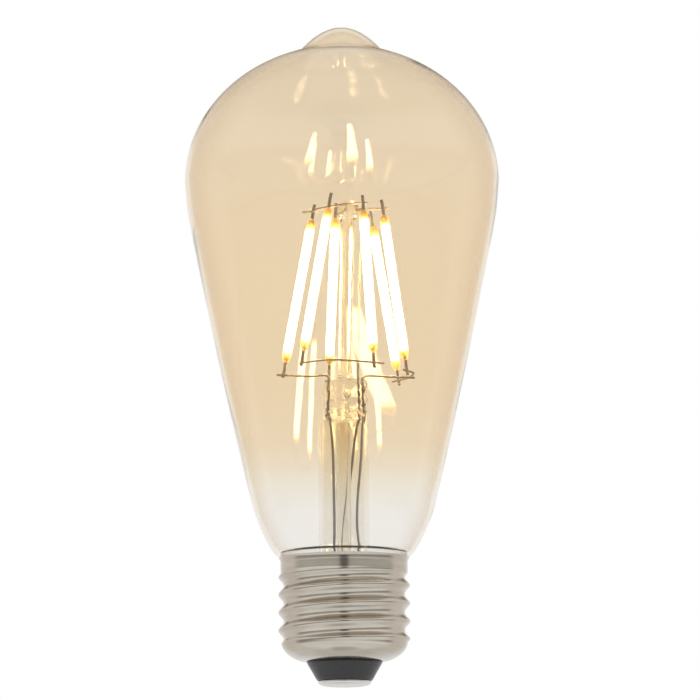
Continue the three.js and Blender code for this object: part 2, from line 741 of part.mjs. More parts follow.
const lamp = new THREE.Group();
const base = new THREE.Group();
const mount = new THREE.Group();
mount.position.set(PRESS_OFFSET, 0, pressTop);
mount.rotation.y = MOUNT_LEAN;
lamp.add(base, mount);

add(base, "glass_envelope", envelope(), AMBER_GLASS);
add(base, "cap_shell", capShell(), NICKEL);
add(base, "basing_cement", basingCement(), CEMENT);
add(base, "cap_insulator", insulator(), INSULATION);
add(base, "centre_contact", centreContact(), TIN);
add(base, "glass_stem", stem(), CLEAR_GLASS);
add(base, "exhaust_tube", exhaustTube(), CLEAR_GLASS);

const wires = cageWires();
for (const [name, [points, diameter]] of Object.entries(wires)) add(mount, name, bar(points, diameter), LEAD_WIRE);
const embedded = ["upper_cross_wire", "upper_link_right"].map((name) =>
  bar(wires[name][0], wires[name][1] + 2 * CLEARANCE),
);
add(mount, "glass_pillar", pillar(embedded), CLEAR_GLASS);
FILAMENTS.forEach((filament, k) => addFilament(mount, filament, k + 1));

// Leads from the press down the tube to the board, and the short seal wires between them and the inner leads.
// A route keeps to the room between the exhaust tube and the stem's wall, as [bearing, share of that room,
// height].
const sealTop = pressTop - LEAD_EMBED - 0.3;
const sealBottom = pressBottom - 1;
const leadEndY = BOARD_FACE_Y - 2 * CLEARANCE;
const innerRoom = (EXHAUST_DIAMETER + OUTER_LEAD_DIAMETER) / 2 + CLEARANCE;
const straightDown = (PRESS_OFFSET + leads.right.x - innerRoom) / (outerRoom - innerRoom); // below the press
const leadRoutes = {
  left: [
    [149, 0.34, SHOULDER_HEIGHT - 3],
    [149, 0.22, 42],
    [148, 0.18, CAP_HEIGHT + 3],
    [193, 0.4, neckBottom + 1.5],
  ],
  middle: [
    [340, 0.35, SHOULDER_HEIGHT - 2],
    [310, 0.3, 46],
    [284, 0.3, 40],
    [252, 0.21, CAP_HEIGHT + 4],
    [249, 0.18, neckBottom + 1.5],
  ],
  right: [
    [6, straightDown, SHOULDER_HEIGHT - 1.6],
    [13, 0.88, 46],
    [24, 0.55, 37],
    [28, 0.55, 32],
    [15, 0.68, CAP_HEIGHT + 1],
    [349, 0.7, neckBottom + 1.5],
  ],
};

// The driver's bay, between the insulator and the glass neck.
const bayBottom = threadBottom - 0.3;
const bayTop = neckBottom - BAY_GAP;
const bayHeight = bayTop - bayBottom;
const bayRadius = threadBore - 2 * CLEARANCE;
const boardBackY = BOARD_FACE_Y + BOARD_THICKNESS;
const boardWidth = 2 * Math.sqrt(bayRadius ** 2 - boardBackY ** 2);
const leadFeet = { left: -3.8, middle: -0.9, right: 3.8 };
const inLine = (points) => points.map((point) => new THREE.Vector3(...point));

for (const [side, { x, y }] of Object.entries(leads)) {
  const inPress = (height) => new THREE.Vector3(PRESS_OFFSET + x, y, height);
  add(base, `seal_wire_${side}`, bar([inPress(sealBottom), inPress(sealTop)], SEAL_WIRE_DIAMETER), COPPER);
  const outer = [
    inPress(sealBottom - 0.3),
    ...leadRoutes[side].map(([bearing, share, height]) =>
      polar(bearing, THREE.MathUtils.lerp(innerRoom, outerRoom, share), height),
    ),
    ...inLine([
      [leadFeet[side], leadEndY - 0.5, bayTop - 0.4],
      [leadFeet[side], leadEndY, bayTop - 2.4],
    ]),
  ];
  add(base, `outer_lead_${side}`, bar(outer, OUTER_LEAD_DIAMETER), COPPER);
}

const boardCorner = [-boardWidth / 2, BOARD_FACE_Y, bayBottom];
add(base, "driver_board", block(boardCorner, [boardWidth, BOARD_THICKNESS, bayHeight]), BOARD_RESIN);
const chipMaterial = { bridge_rectifier: CHIP_RESIN, driver_chip: CHIP_RESIN, wireless_module: SHIELD };
const chipRow = Object.values(CHIPS).reduce((sum, [width]) => sum + width, 2 * CHIP_GAP);
let chipX = -chipRow / 2;
for (const [name, [width, depth, height]] of Object.entries(CHIPS)) {
  const size = [width, depth, (height / 10) * bayHeight];
  add(base, name, block([chipX, boardBackY + CLEARANCE, bayBottom + 0.1 * bayHeight], size), chipMaterial[name]);
  chipX += width + CHIP_GAP;
}
const drum = (bearing, diameter, share, sides) => {
  const { x, y } = polar(bearing, bayRadius - diameter / 2, 0);
  return post(x, y, bayBottom, bayBottom + share * bayHeight, diameter, sides);
};
add(base, "storage_capacitor", drum(165, CAPACITOR_DIAMETER, 0.8, 16), SLEEVE);
add(base, "driver_inductor", drum(15, INDUCTOR_DIAMETER, 0.6, 16), FERRITE);
const resistorY = -(bayRadius - RESISTOR_DIAMETER / 2) / 2;
const resistor = post(0, resistorY, bayBottom + 0.9, bayBottom + 0.5 * bayHeight, RESISTOR_DIAMETER);
add(base, "fusible_resistor", resistor, RESISTOR_COAT);
const moduleTop = bayBottom + (0.1 + CHIPS.wireless_module[2] / 10) * bayHeight;
const antenna = inLine([
  [1.2, boardBackY + 0.6, moduleTop + 0.2],
  [1.2, boardBackY + 0.6, bayTop + 0.3],
  [1.2, BOARD_FACE_Y + 0.3, neckBottom + 2.5],
  [1.6, 3, CAP_HEIGHT - 1.5],
]);
add(base, "antenna_wire", bar(antenna, 0.6), COPPER);
const contactFeed = inLine([
  [0, resistorY, bayBottom + 0.7],
  [0, resistorY + 1, bayBottom],
  [0, -1.2, bayBottom - 0.3],
  [0, 0, 6.2],
  [0, 0, CONTACT_THICKNESS + RIVET_LENGTH + WELD_GAP],
]);
add(base, "contact_feed_wire", bar(contactFeed, OUTER_LEAD_DIAMETER), COPPER);
const shellFeed = inLine([
  [-boardWidth / 2 + 1, leadEndY, bayTop - 1.6],
  [-boardWidth / 2 + 0.4, leadEndY - 0.8, bayTop - 0.9],
  [-(threadBore - 0.5), 0, bayTop - 0.6],
]);
add(base, "shell_feed_wire", bar(shellFeed, OUTER_LEAD_DIAMETER), COPPER);

export default lamp;
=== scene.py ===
"""Visual model of a tear-drop filament lamp on a screw cap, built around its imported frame.

Sizes are in millimetres and become metres when a piece is made. +Z is up, the origin is the middle of the centre
contact's flat face, and -Y is the front.
"""
import logging
import math
from dataclasses import dataclass, field
from enum import Enum
from typing import Iterable, Optional, Sequence

import bpy
import numpy as np
from mathutils import Matrix, Vector


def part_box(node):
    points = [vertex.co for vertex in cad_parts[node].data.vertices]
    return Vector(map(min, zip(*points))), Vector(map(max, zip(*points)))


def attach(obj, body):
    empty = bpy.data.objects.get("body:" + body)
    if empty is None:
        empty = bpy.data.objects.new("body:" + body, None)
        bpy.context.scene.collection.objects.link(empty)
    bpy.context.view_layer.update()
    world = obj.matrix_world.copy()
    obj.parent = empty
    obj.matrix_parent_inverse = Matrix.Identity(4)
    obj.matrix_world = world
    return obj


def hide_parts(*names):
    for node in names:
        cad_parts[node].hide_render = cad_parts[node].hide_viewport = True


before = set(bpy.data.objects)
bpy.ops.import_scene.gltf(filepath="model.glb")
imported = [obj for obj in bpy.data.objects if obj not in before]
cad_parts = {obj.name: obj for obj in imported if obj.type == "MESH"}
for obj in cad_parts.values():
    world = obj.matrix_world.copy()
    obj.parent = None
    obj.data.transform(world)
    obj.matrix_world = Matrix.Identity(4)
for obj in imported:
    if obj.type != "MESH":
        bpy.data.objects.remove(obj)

LOG = logging.getLogger("lamp")
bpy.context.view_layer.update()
MM = 0.001
BODY = "root"
Points = np.ndarray
Colour = tuple[float, float, float]


class Slot(str, Enum):
    """Material slots of the record."""

    AMBER_GLASS = "amber_glass"
    CLEAR_GLASS = "clear_glass"
    NICKEL = "nickel"
    TIN = "tin"
    INSULATION = "insulation"
    CEMENT = "cement"
    PHOSPHOR = "phosphor"
    TAB_STEEL = "tab_steel"
    LEAD_WIRE = "lead_wire"
    COPPER = "copper"
    BOARD = "board"
    CHIP = "chip"
    SLEEVE = "sleeve"
    FERRITE = "ferrite"
    SHIELD = "shield"
    RESISTOR = "resistor"


def node_box(name: str) -> tuple[Points, Points]:
    """Returns a CAD node's lowest and highest corners, in millimetres."""
    low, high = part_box(name)
    return np.array(low) / MM, np.array(high) / MM


# ---------- shapes ----------


def smooth_line(points: Sequence[Sequence[float]], per_span: int = 12) -> Points:
    """Draws a centripetal Catmull-Rom curve through points of any dimension.

    Between two points it is a cubic whose end slopes come from the neighbouring points, with each span's share of the
    parameter set by the square root of its length.

    Args:
        points: the points that the curve passes through.
        per_span: steps from one point to the next.

    Returns:
        The curve's points, one row each.
    """
    known = np.asarray(points, float)
    padded = np.vstack([2 * known[0] - known[1], known, 2 * known[-1] - known[-2]])
    a, b, c, d = padded[:-3], padded[1:-2], padded[2:-1], padded[3:]
    ab, bc, cd = (np.maximum(np.linalg.norm(v - u, axis=1, keepdims=True), 1e-6) ** 0.5
                  for u, v in ((a, b), (b, c), (c, d)))
    leave = ((b - a) / ab - (c - a) / (ab + bc) + (c - b) / bc) * bc
    arrive = ((c - b) / bc - (d - b) / (bc + cd) + (d - c) / cd) * bc
    s = np.linspace(0, 1, per_span, endpoint=False)[:, None, None]
    spans = ((2 * s**3 - 3 * s**2 + 1) * b + (s**3 - 2 * s**2 + s) * leave
             + (3 * s**2 - 2 * s**3) * c + (s**3 - s**2) * arrive)
    return np.vstack([spans.transpose(1, 0, 2).reshape(-1, known.shape[1]), known[-1:]])


def ease(value: Points, low: float, high: float) -> Points:
    """Returns the smooth step 3t^2 - 2t^3 of value between low and high."""
    t = np.clip((np.asarray(value, float) - low) / (high - low), 0, 1)
    return t * t * (3 - 2 * t)


def ripple(places: Points, size: float, seed: int = 0) -> Points:
    """Returns a smooth unevenness from -1 to 1: the mean of five sine waves of about size, each its own way."""
    draw = np.random.default_rng(seed)
    waves = draw.normal(size=(5, 3)) * 2 * math.pi / (size * math.sqrt(3))
    shifts = draw.uniform(0, 2 * math.pi, 5)
    return np.sin(places @ waves.T + shifts).mean(-1)


@dataclass
class Surface:
    """A closed skin of quads and triangles, in millimetres."""

    places: Points
    quads: Points
    uv: Optional[Points] = None

    @classmethod
    def grid(cls, rows: Points, loop: bool = False, uv: Optional[Points] = None) -> "Surface":
        """Joins rings of points into one skin; rings close on themselves, and so do the rows when loop is set.

        Args:
            rows: an array of rings, of points, of coordinates.
            loop: whether the last ring joins the first.
            uv: two numbers for each point, if the finish follows the surface.

        Returns:
            The skin, with rings of one place welded to a pole and its faces turned outwards.
        """
        count, around = rows.shape[:2]
        last = count if loop else count - 1
        low = (np.arange(last)[:, None] * around + np.arange(around)).ravel()
        low_next = (np.arange(last)[:, None] * around + (np.arange(around) + 1) % around).ravel()
        total = count * around
        quads = np.stack([low, low_next, (low_next + around) % total, (low + around) % total], 1)
        places = rows.reshape(-1, 3)
        _, first, back = np.unique(np.round(places / 1e-5).astype(np.int64), axis=0, return_index=True,
                                   return_inverse=True)
        skin = cls(places[first], back.reshape(-1)[quads], None if uv is None else uv.reshape(-1, 2)[first])
        return skin.outward()

    def outward(self) -> "Surface":
        """Turns the faces over when the volume that they enclose comes out negative."""
        a, b, c, d = (self.places[self.quads[:, k]] for k in range(4))
        volume = (np.cross(a, b) * c).sum() + (np.cross(a, c) * d).sum()
        if volume < 0:
            self.quads = self.quads[:, ::-1]
        return self

    def hollow(self) -> "Surface":
        """Returns the skin turned over, as the wall of an empty space inside a solid."""
        return Surface(self.places, self.quads[:, ::-1], self.uv)

    def moved(self, matrix: Points) -> "Surface":
        """Returns the skin moved by a 4 by 4 matrix."""
        return Surface(self.places @ matrix[:3, :3].T + matrix[:3, 3], self.quads, self.uv)

    @staticmethod
    def joined(parts: Iterable["Surface"]) -> "Surface":
        """Puts several closed skins into one."""
        parts = list(parts)
        starts = np.cumsum([0] + [len(p.places) for p in parts[:-1]])
        uv = None if parts[0].uv is None else np.vstack([p.uv for p in parts])
        return Surface(np.vstack([p.places for p in parts]), np.vstack([p.quads + n for p, n in zip(parts, starts)]),
                       uv)

    def mesh(self, name: str, crease: float = 40) -> bpy.types.Mesh:
        """Makes the Blender mesh, in metres and smooth-shaded, with edges sharper than crease degrees kept sharp."""
        same = self.quads == np.roll(self.quads, -1, axis=1)
        four = self.quads[~same.any(1)]
        pinched = same.sum(1) == 1
        three = self.quads[pinched][~same[pinched]].reshape(-1, 3)
        corners = np.concatenate([four.ravel(), three.ravel()]).astype(np.int32)
        sizes = np.concatenate([np.full(len(four), 4), np.full(len(three), 3)]).astype(np.int32)
        mesh = bpy.data.meshes.new(name)
        mesh.vertices.add(len(self.places))
        mesh.vertices.foreach_set("co", (self.places * MM).astype(np.float32).ravel())
        mesh.loops.add(len(corners))
        mesh.loops.foreach_set("vertex_index", corners)
        mesh.polygons.add(len(sizes))
        mesh.polygons.foreach_set("loop_start", (np.cumsum(sizes) - sizes).astype(np.int32))
        mesh.update(calc_edges=True)
        mesh.polygons.foreach_set("use_smooth", np.ones(len(sizes), bool))
        mesh.set_sharp_from_angle(angle=math.radians(crease))
        if self.uv is not None:
            layer = mesh.uv_layers.new(name="along")
            layer.data.foreach_set("uv", self.uv[corners].astype(np.float32).ravel())
        mesh.validate()
        return mesh


def lathe(profile: Sequence[Sequence[float]], loop: bool = False, facets: int = 96, uv: bool = False) -> Surface:
    """Turns a [radius, height] profile about Z: x = r cos a, y = r sin a.

    Args:
        profile: the profile's points; it starts and ends on the axis, or closes on itself when loop is set.
        loop: whether the profile closes on itself.
        facets: steps round the axis.
        uv: whether to store the height's share and the angle's share at each point.

    Returns:
        The turned skin.
    """
    radius, height = np.asarray(profile, float).T
    angle = np.linspace(0, 2 * math.pi, facets, endpoint=False)
    rows = np.stack([np.outer(radius, np.cos(angle)), np.outer(radius, np.sin(angle)),
                     np.outer(height, np.ones(facets))], -1)
    if not uv:
        return Surface.grid(rows, loop)
    share = (height - height.min()) / np.ptp(height)
    return Surface.grid(rows, loop, np.stack([np.outer(share, np.ones(facets)),
                                              np.outer(np.ones(len(share)), angle / (2 * math.pi))], -1))


def circle(diameter: float, sides: int = 14) -> Points:
    """Returns a circle as a section for sweep."""
    angle = np.linspace(0, 2 * math.pi, sides, endpoint=False)
    return diameter / 2 * np.stack([np.cos(angle), np.sin(angle)], 1)


def rounded(width: float, depth: float, power: float = 5, sides: int = 28) -> Points:
    """Returns a superellipse |x/a|^n + |y/b|^n = 1 as a section: a rectangle with soft corners."""
    angle = np.linspace(0, 2 * math.pi, sides, endpoint=False) + 1e-4
    cos, sin = np.cos(angle), np.sin(angle)
    return np.stack([width / 2 * np.sign(cos) * np.abs(cos) ** (2 / power),
                     depth / 2 * np.sign(sin) * np.abs(sin) ** (2 / power)], 1)


def sweep(line: Points, section: Points, side: Optional[Sequence[float]] = None, end_length: float = 0.1) -> Surface:
    """Carries a section along a line, square to it, and closes both ends with a rounded edge.

    The section's first axis is one fixed direction, with its part along the line taken out.

    Args:
        line: the points to follow.
        section: the section's points.
        side: direction of the section's first axis; by default the one that the line turns towards least.
        end_length: how far the rounded ends reach past the line.

    Returns:
        The swept skin.
    """
    line = np.asarray(line, float)
    tangent = np.gradient(line, axis=0)
    tangent /= np.linalg.norm(tangent, axis=1, keepdims=True)
    if side is None:
        side = np.linalg.svd(tangent)[2][-1]
    turn = np.array([1, 0.92, 0.7, 0.38])
    shrink = np.sqrt(1 - turn**2)
    centre = np.vstack([line[0] - np.outer(turn, tangent[0]) * end_length, line,
                        line[-1] + np.outer(turn[::-1], tangent[-1]) * end_length])
    scale = np.concatenate([shrink, np.ones(len(line)), shrink[::-1]])
    along = np.vstack([np.tile(tangent[0], (4, 1)), tangent, np.tile(tangent[-1], (4, 1))])
    first = np.asarray(side, float) - (along @ np.asarray(side, float))[:, None] * along
    first /= np.linalg.norm(first, axis=1, keepdims=True)
    second = np.cross(along, first)
    ring = scale[:, None, None] * section
    return Surface.grid(centre[:, None] + ring[..., :1] * first[:, None] + ring[..., 1:] * second[:, None])


def block(corner: Sequence[float], size: Sequence[float], softness: float = 0.2) -> Surface:
    """Returns an upright block from its lowest corner and its size, with soft edges."""
    x, y, z = corner
    width, depth, height = size
    foot, head = ([x + width / 2, y + depth / 2, level] for level in (z + softness, z + height - softness))
    line = np.linspace(foot, head, 3)
    return sweep(line, rounded(width, depth, 9, 40), side=(1, 0, 0), end_length=softness)


def rounded_end(radius: float, length: float, power: float, steps: int) -> Points:
    """Returns the [radius, height] profile of a rounded lower end, r = R (1 - (1 - z/e)^n)^(1/n)."""
    share = np.linspace(0, 1, steps) ** 1.8
    return np.stack([radius * (1 - (1 - share) ** power) ** (1 / power), length * share], 1)


# ---------- finishes ----------


class Graph:
    """A node tree, and short calls that add and join its nodes."""

    def __init__(self, tree: bpy.types.NodeTree) -> None:
        """Starts with an empty tree."""
        self.nodes, self.links = tree.nodes, tree.links
        self.nodes.clear()

    def join(self, value: object, socket: bpy.types.NodeSocket) -> None:
        """Links a socket to another, or stores a plain value in it."""
        if isinstance(value, bpy.types.NodeSocket):
            self.links.new(value, socket)
        elif isinstance(value, tuple) and len(value) == 3 and socket.type == "RGBA":
            socket.default_value = (*value, 1)
        else:
            socket.default_value = value

    def node(self, kind: str, inputs: Optional[dict] = None, **settings: object) -> bpy.types.Node:
        """Adds a node, sets its own settings, and joins its inputs by name or number."""
        node = self.nodes.new("ShaderNode" + kind)
        for name, value in settings.items():
            setattr(node, name, value)
        for key, value in (inputs or {}).items():
            self.join(value, node.inputs[key])
        return node

    def calculate(self, operation: str, *values: object) -> bpy.types.NodeSocket:
        """Returns the result of one operation on plain numbers or sockets."""
        return self.node("Math", dict(enumerate(values)), operation=operation).outputs[0]

    def blend(self, share: object, a: object, b: object, kind: str = "MIX") -> bpy.types.NodeSocket:
        """Returns two colours mixed, with share of the second one."""
        return self.node("Mix", {0: share, 6: a, 7: b}, data_type="RGBA", blend_type=kind).outputs[2]

    def ramp(self, value: bpy.types.NodeSocket, stops: Sequence[tuple[float, Colour]]) -> bpy.types.NodeSocket:
        """Returns a colour that runs through stops as value grows from 0 to 1."""
        node = self.node("ValToRGB", {"Fac": value})
        while len(node.color_ramp.elements) < len(stops):
            node.color_ramp.elements.new(0.5)
        for element, (at, colour) in zip(node.color_ramp.elements, stops):
            element.position = at
            element.color = (*colour, 1)
        return node.outputs["Color"]

    def span(self, value: bpy.types.NodeSocket, low: float, high: float, to_low: float = 0,
             to_high: float = 1) -> bpy.types.NodeSocket:
        """Returns value carried from one range to another, smoothly and within it."""
        return self.node("MapRange", {"Value": value, "From Min": low, "From Max": high, "To Min": to_low,
                                      "To Max": to_high}, interpolation_type="SMOOTHSTEP").outputs["Result"]

    def mirrored(self) -> bpy.types.NodeSocket:
        """Returns 1 for a ray that a surface mirrors, and 0 for one that it bends or scatters."""
        rays = self.node("LightPath")
        return self.calculate("MULTIPLY", rays.outputs["Is Glossy Ray"], rays.outputs["Is Reflection Ray"])


class Board(Graph):
    """A material's node tree with one Principled shader."""

    def __init__(self, name: str) -> None:
        """Starts a material with its shader joined to the output."""
        self.material = bpy.data.materials.new(name)
        self.material.use_nodes = True
        super().__init__(self.material.node_tree)
        self.shader = self.node("BsdfPrincipled")
        self.output = self.node("OutputMaterial", {"Surface": self.shader.outputs["BSDF"]})

    def set(self, **values: object) -> "Board":
        """Sets the shader's sockets by name, with underscores for spaces; a socket as a value is linked."""
        for name, value in values.items():
            self.join(value, self.shader.inputs[name.replace("_", " ")])
        return self

    def place(self, scale: Sequence[float] = (1, 1, 1)) -> bpy.types.NodeSocket:
        """Returns Object coordinates, stretched by scale."""
        there = self.node("TexCoord").outputs["Object"]
        return self.node("Mapping", {"Vector": there, "Scale": scale}).outputs["Vector"]

    def height(self, low: float, high: float) -> bpy.types.NodeSocket:
        """Returns how far a point is up from low to high, which are heights above the origin in millimetres."""
        return self.span(self.node("SeparateXYZ", {"Vector": self.place()}).outputs["Z"], low * MM, high * MM)

    def share(self, axis: int = 0) -> bpy.types.NodeSocket:
        """Returns the share of the way along the piece (axis 0) or round it (axis 1)."""
        return self.node("SeparateXYZ", {"Vector": self.node("UVMap", uv_map="along").outputs["UV"]}).outputs[axis]

    def noise(self, scale: float, detail: float = 4, stretch: Sequence[float] = (1, 1, 1)) -> bpy.types.NodeSocket:
        """Returns a noise of about scale features in a metre."""
        return self.node("TexNoise", {"Vector": self.place(stretch), "Scale": scale, "Detail": detail}).outputs["Fac"]

    def bump(self, height: bpy.types.NodeSocket, strength: float, distance: float) -> bpy.types.NodeSocket:
        """Returns a normal roughened by height, whose full range stands for distance in metres."""
        return self.node("Bump", {"Height": height, "Strength": strength, "Distance": distance}).outputs["Normal"]


@dataclass(frozen=True)
class AmberGlass:
    """Clear blown glass with an amber lustre that fades out above the cap."""

    fade: tuple[float, float] = (30.0, 62.0)
    stops: tuple[tuple[float, Colour], ...] = (
        (0.0, (0.92, 0.915, 0.91)),
        (0.22, (0.93, 0.91, 0.865)),
        (0.55, (0.915, 0.84, 0.715)),
        (1.0, (0.915, 0.815, 0.665)),
    )
    crown: Colour = (0.885, 0.81, 0.69)
    crown_fade: tuple[float, float] = (85.0, 125.0)
    edge: Colour = (0.84, 0.76, 0.64)
    edge_facing: tuple[float, float] = (0.35, 0.85)

    def build(self) -> bpy.types.Material:
        """Returns the glass; its lustre is deeper where the wall is seen from the side."""
        board = Board("amber_lustre_glass")
        body = board.ramp(board.height(*self.fade), self.stops)
        face = board.blend(board.height(*self.crown_fade), body, self.crown)
        facing = board.node("LayerWeight", {"Blend": 0.5}).outputs["Facing"]
        lustre = board.blend(board.span(facing, *self.edge_facing), (1.0, 1.0, 1.0), self.edge)
        tone = board.blend(1.0, face, lustre, "MULTIPLY")
        seeds = board.bump(board.noise(60, 1), 0.03, 0.002)
        return board.set(Base_Color=tone, Roughness=0.0, IOR=1.5, Transmission_Weight=1.0, Normal=seeds).material


@dataclass(frozen=True)
class ClearGlass:
    """Lead-free stem glass, faintly warm, with fine drawing lines along the tube."""

    tint: Colour = (0.94, 0.925, 0.885)
    streak: Colour = (0.9, 0.875, 0.82)
    warm: Colour = (0.92, 0.87, 0.75)
    warm_fade: tuple[float, float] = (34.0, 56.0)

    def build(self) -> bpy.types.Material:
        """Returns the glass."""
        board = Board("stem_glass")
        lines = board.noise(900, 2, (1, 1, 0.03))
        plain = board.ramp(lines, ((0.4, self.tint), (0.75, self.streak)))
        tone = board.blend(board.height(*self.warm_fade), plain, self.warm)
        return board.set(Base_Color=tone, Roughness=0.0, IOR=1.52, Transmission_Weight=1.0,
                         Normal=board.bump(lines, 0.08, 0.0002)).material


@dataclass(frozen=True)
class PlatedMetal:
    """Plated or drawn metal: two close tones, fine draw lines round or along the piece, and a patchy gloss."""

    name: str
    bright: Colour
    dull: Colour
    roughness: tuple[float, float]
    line_scale: float = 1500
    stretch: tuple[float, float, float] = (0.05, 0.05, 1)
    relief: float = 0.12

    def build(self) -> bpy.types.Material:
        """Returns the metal."""
        board = Board(self.name)
        cloud = board.noise(220, 5)
        lines = board.noise(self.line_scale, 3, self.stretch)
        both = board.span(board.calculate("ADD", cloud, lines), 0.7, 1.3)
        tone = board.ramp(both, ((0.0, self.dull), (1.0, self.bright)))
        gloss = board.span(cloud, 0.3, 0.7, *self.roughness)
        return board.set(Base_Color=tone, Metallic=1.0, Roughness=gloss,
                         Normal=board.bump(lines, self.relief, 0.00005)).material


@dataclass(frozen=True)
class Compound:
    """A matt or glossy non-metal: two tones mottled together, with a grain that stands proud."""

    name: str
    light: Colour
    dark: Colour
    roughness: tuple[float, float]
    grain: float
    relief: float
    coat: float = 0.0

    def build(self) -> bpy.types.Material:
        """Returns the compound."""
        board = Board(self.name)
        mottle = board.noise(self.grain, 6)
        return board.set(Base_Color=board.ramp(mottle, ((0.35, self.dark), (0.65, self.light))),
                         Roughness=board.span(mottle, 0.3, 0.7, *self.roughness), Coat_Weight=self.coat,
                         Coat_Roughness=0.12, Normal=board.bump(mottle, self.relief, 0.0001)).material


@dataclass(frozen=True)
class Banded:
    """A coated body whose colours follow its length, as on a sleeve with a stripe or a part with code bands."""

    name: str
    stops: tuple[tuple[float, Colour], ...]
    axis: int = 0
    roughness: float = 0.35

    def build(self) -> bpy.types.Material:
        """Returns the coating."""
        board = Board(self.name)
        ramp = board.ramp(board.share(self.axis), self.stops)
        ramp.node.color_ramp.interpolation = "CONSTANT"
        grain = board.noise(2500, 3)
        return board.set(Base_Color=ramp, Roughness=board.span(grain, 0.3, 0.7, self.roughness - 0.08,
                                                               self.roughness + 0.08),
                         Normal=board.bump(grain, 0.1, 0.00005)).material


@dataclass(frozen=True)
class PhosphorCoat:
    """Yellow phosphor in silicone, lit from inside along the chips and amber past their ends."""

    lit: Colour = (1.0, 0.93, 0.72)
    yellow: Colour = (0.82, 0.62, 0.2)
    amber: Colour = (0.5, 0.36, 0.12)
    lit_edge: Colour = (0.3, 0.2, 0.05)
    unlit: Colour = (0.03, 0.02, 0.005)
    dark_end: float = 0.066
    glow: float = 3.5

    def build(self) -> bpy.types.Material:
        """Returns the coat."""
        board = Board("phosphor_silicone")
        reach = board.calculate("ABSOLUTE", board.calculate("SUBTRACT", board.share(), 0.5))
        end = board.span(reach, 0.5 - 1.6 * self.dark_end, 0.5 - 0.5 * self.dark_end)
        tone = board.ramp(end, ((0.0, self.lit), (0.35, self.yellow), (1.0, self.amber)))
        light = board.ramp(end, ((0.0, self.lit), (0.4, self.lit_edge), (1.0, self.unlit)))
        return board.set(Base_Color=tone, Roughness=0.3, IOR=1.41, Transmission_Weight=0.5, Emission_Color=light,
                         Emission_Strength=self.glow, Normal=board.bump(board.noise(1200, 3), 0.25, 0.0001)).material


@dataclass(frozen=True)
class ChipGlow:
    """Blue chips under phosphor, seen as one white-hot line with faint gaps between the chips."""

    hot: Colour = (1.0, 0.94, 0.78)
    gap: Colour = (0.95, 0.8, 0.55)
    strength: float = 36.0
    chips: int = 28

    def build(self) -> bpy.types.Material:
        """Returns the glow."""
        board = Board("lit_chips")
        wave = board.calculate("SINE", board.calculate("MULTIPLY", board.share(), 2 * math.pi * self.chips))
        light = board.ramp(board.span(wave, -1, -0.5), ((0.0, self.gap), (1.0, self.hot)))
        return board.set(Base_Color=self.hot, Roughness=0.5, Emission_Color=light,
                         Emission_Strength=self.strength).material


@dataclass(frozen=True)
class CircuitBoard:
    """Green board resin with paler copper tracks under the mask."""

    mask: Colour = (0.03, 0.14, 0.06)
    track: Colour = (0.08, 0.26, 0.1)

    def build(self) -> bpy.types.Material:
        """Returns the board's finish."""
        board = Board("solder_mask")
        cells = board.node("TexVoronoi", {"Vector": board.place(), "Scale": 600.0}, distance="MANHATTAN")
        edge = board.span(cells.outputs["Distance"], 0.25, 0.3)
        return board.set(Base_Color=board.ramp(edge, ((0.0, self.track), (1.0, self.mask))), Roughness=0.3,
                         Coat_Weight=0.3, Normal=board.bump(edge, 0.3, 0.00004)).material


FINISHES = {
    Slot.AMBER_GLASS: AmberGlass(),
    Slot.CLEAR_GLASS: ClearGlass(),
    Slot.NICKEL: PlatedMetal("nickel_plate", (0.6, 0.56, 0.5), (0.52, 0.48, 0.42), (0.13, 0.2)),
    Slot.TIN: PlatedMetal("tinned_contact", (0.86, 0.85, 0.84), (0.74, 0.73, 0.71), (0.28, 0.42), relief=0.3),
    Slot.INSULATION: Compound("black_vitrite", (0.02, 0.019, 0.024), (0.017, 0.016, 0.02), (0.3, 0.38), 260, 0.02,
                              0.15),
    Slot.CEMENT: Compound("basing_cement", (0.62, 0.58, 0.5), (0.46, 0.42, 0.35), (0.8, 0.95), 1800, 0.6),
    Slot.PHOSPHOR: PhosphorCoat(),
    Slot.TAB_STEEL: PlatedMetal("tab_steel", (0.36, 0.31, 0.25), (0.22, 0.18, 0.14), (0.3, 0.45), 2500, (1, 1, 0.1)),
    Slot.LEAD_WIRE: PlatedMetal("lead_wire", (0.5, 0.42, 0.32), (0.27, 0.21, 0.14), (0.25, 0.42), 3000, (1, 1, 0.2)),
    Slot.COPPER: PlatedMetal("oxidised_copper", (0.3, 0.22, 0.15), (0.14, 0.11, 0.09), (0.35, 0.5), 3000, (1, 1, 0.1)),
    Slot.BOARD: CircuitBoard(),
    Slot.CHIP: Compound("chip_resin", (0.03, 0.03, 0.033), (0.015, 0.015, 0.017), (0.45, 0.6), 6000, 0.25),
    Slot.SLEEVE: Banded("capacitor_sleeve", (
        (0.0, (0.02, 0.03, 0.07)), (0.12, (0.45, 0.46, 0.5)), (0.2, (0.02, 0.03, 0.07))), 1),
    Slot.FERRITE: Compound("ferrite", (0.09, 0.09, 0.095), (0.05, 0.05, 0.052), (0.6, 0.8), 4000, 0.4),
    Slot.SHIELD: PlatedMetal("shield_can", (0.74, 0.75, 0.76), (0.62, 0.63, 0.64), (0.2, 0.32)),
    Slot.RESISTOR: Banded("resistor_coat", (
        (0.0, (0.35, 0.55, 0.5)), (0.24, (0.45, 0.06, 0.04)), (0.33, (0.35, 0.55, 0.5)), (0.45, (0.05, 0.04, 0.03)),
        (0.53, (0.35, 0.55, 0.5)), (0.66, (0.6, 0.45, 0.12)), (0.74, (0.35, 0.55, 0.5)))),
}


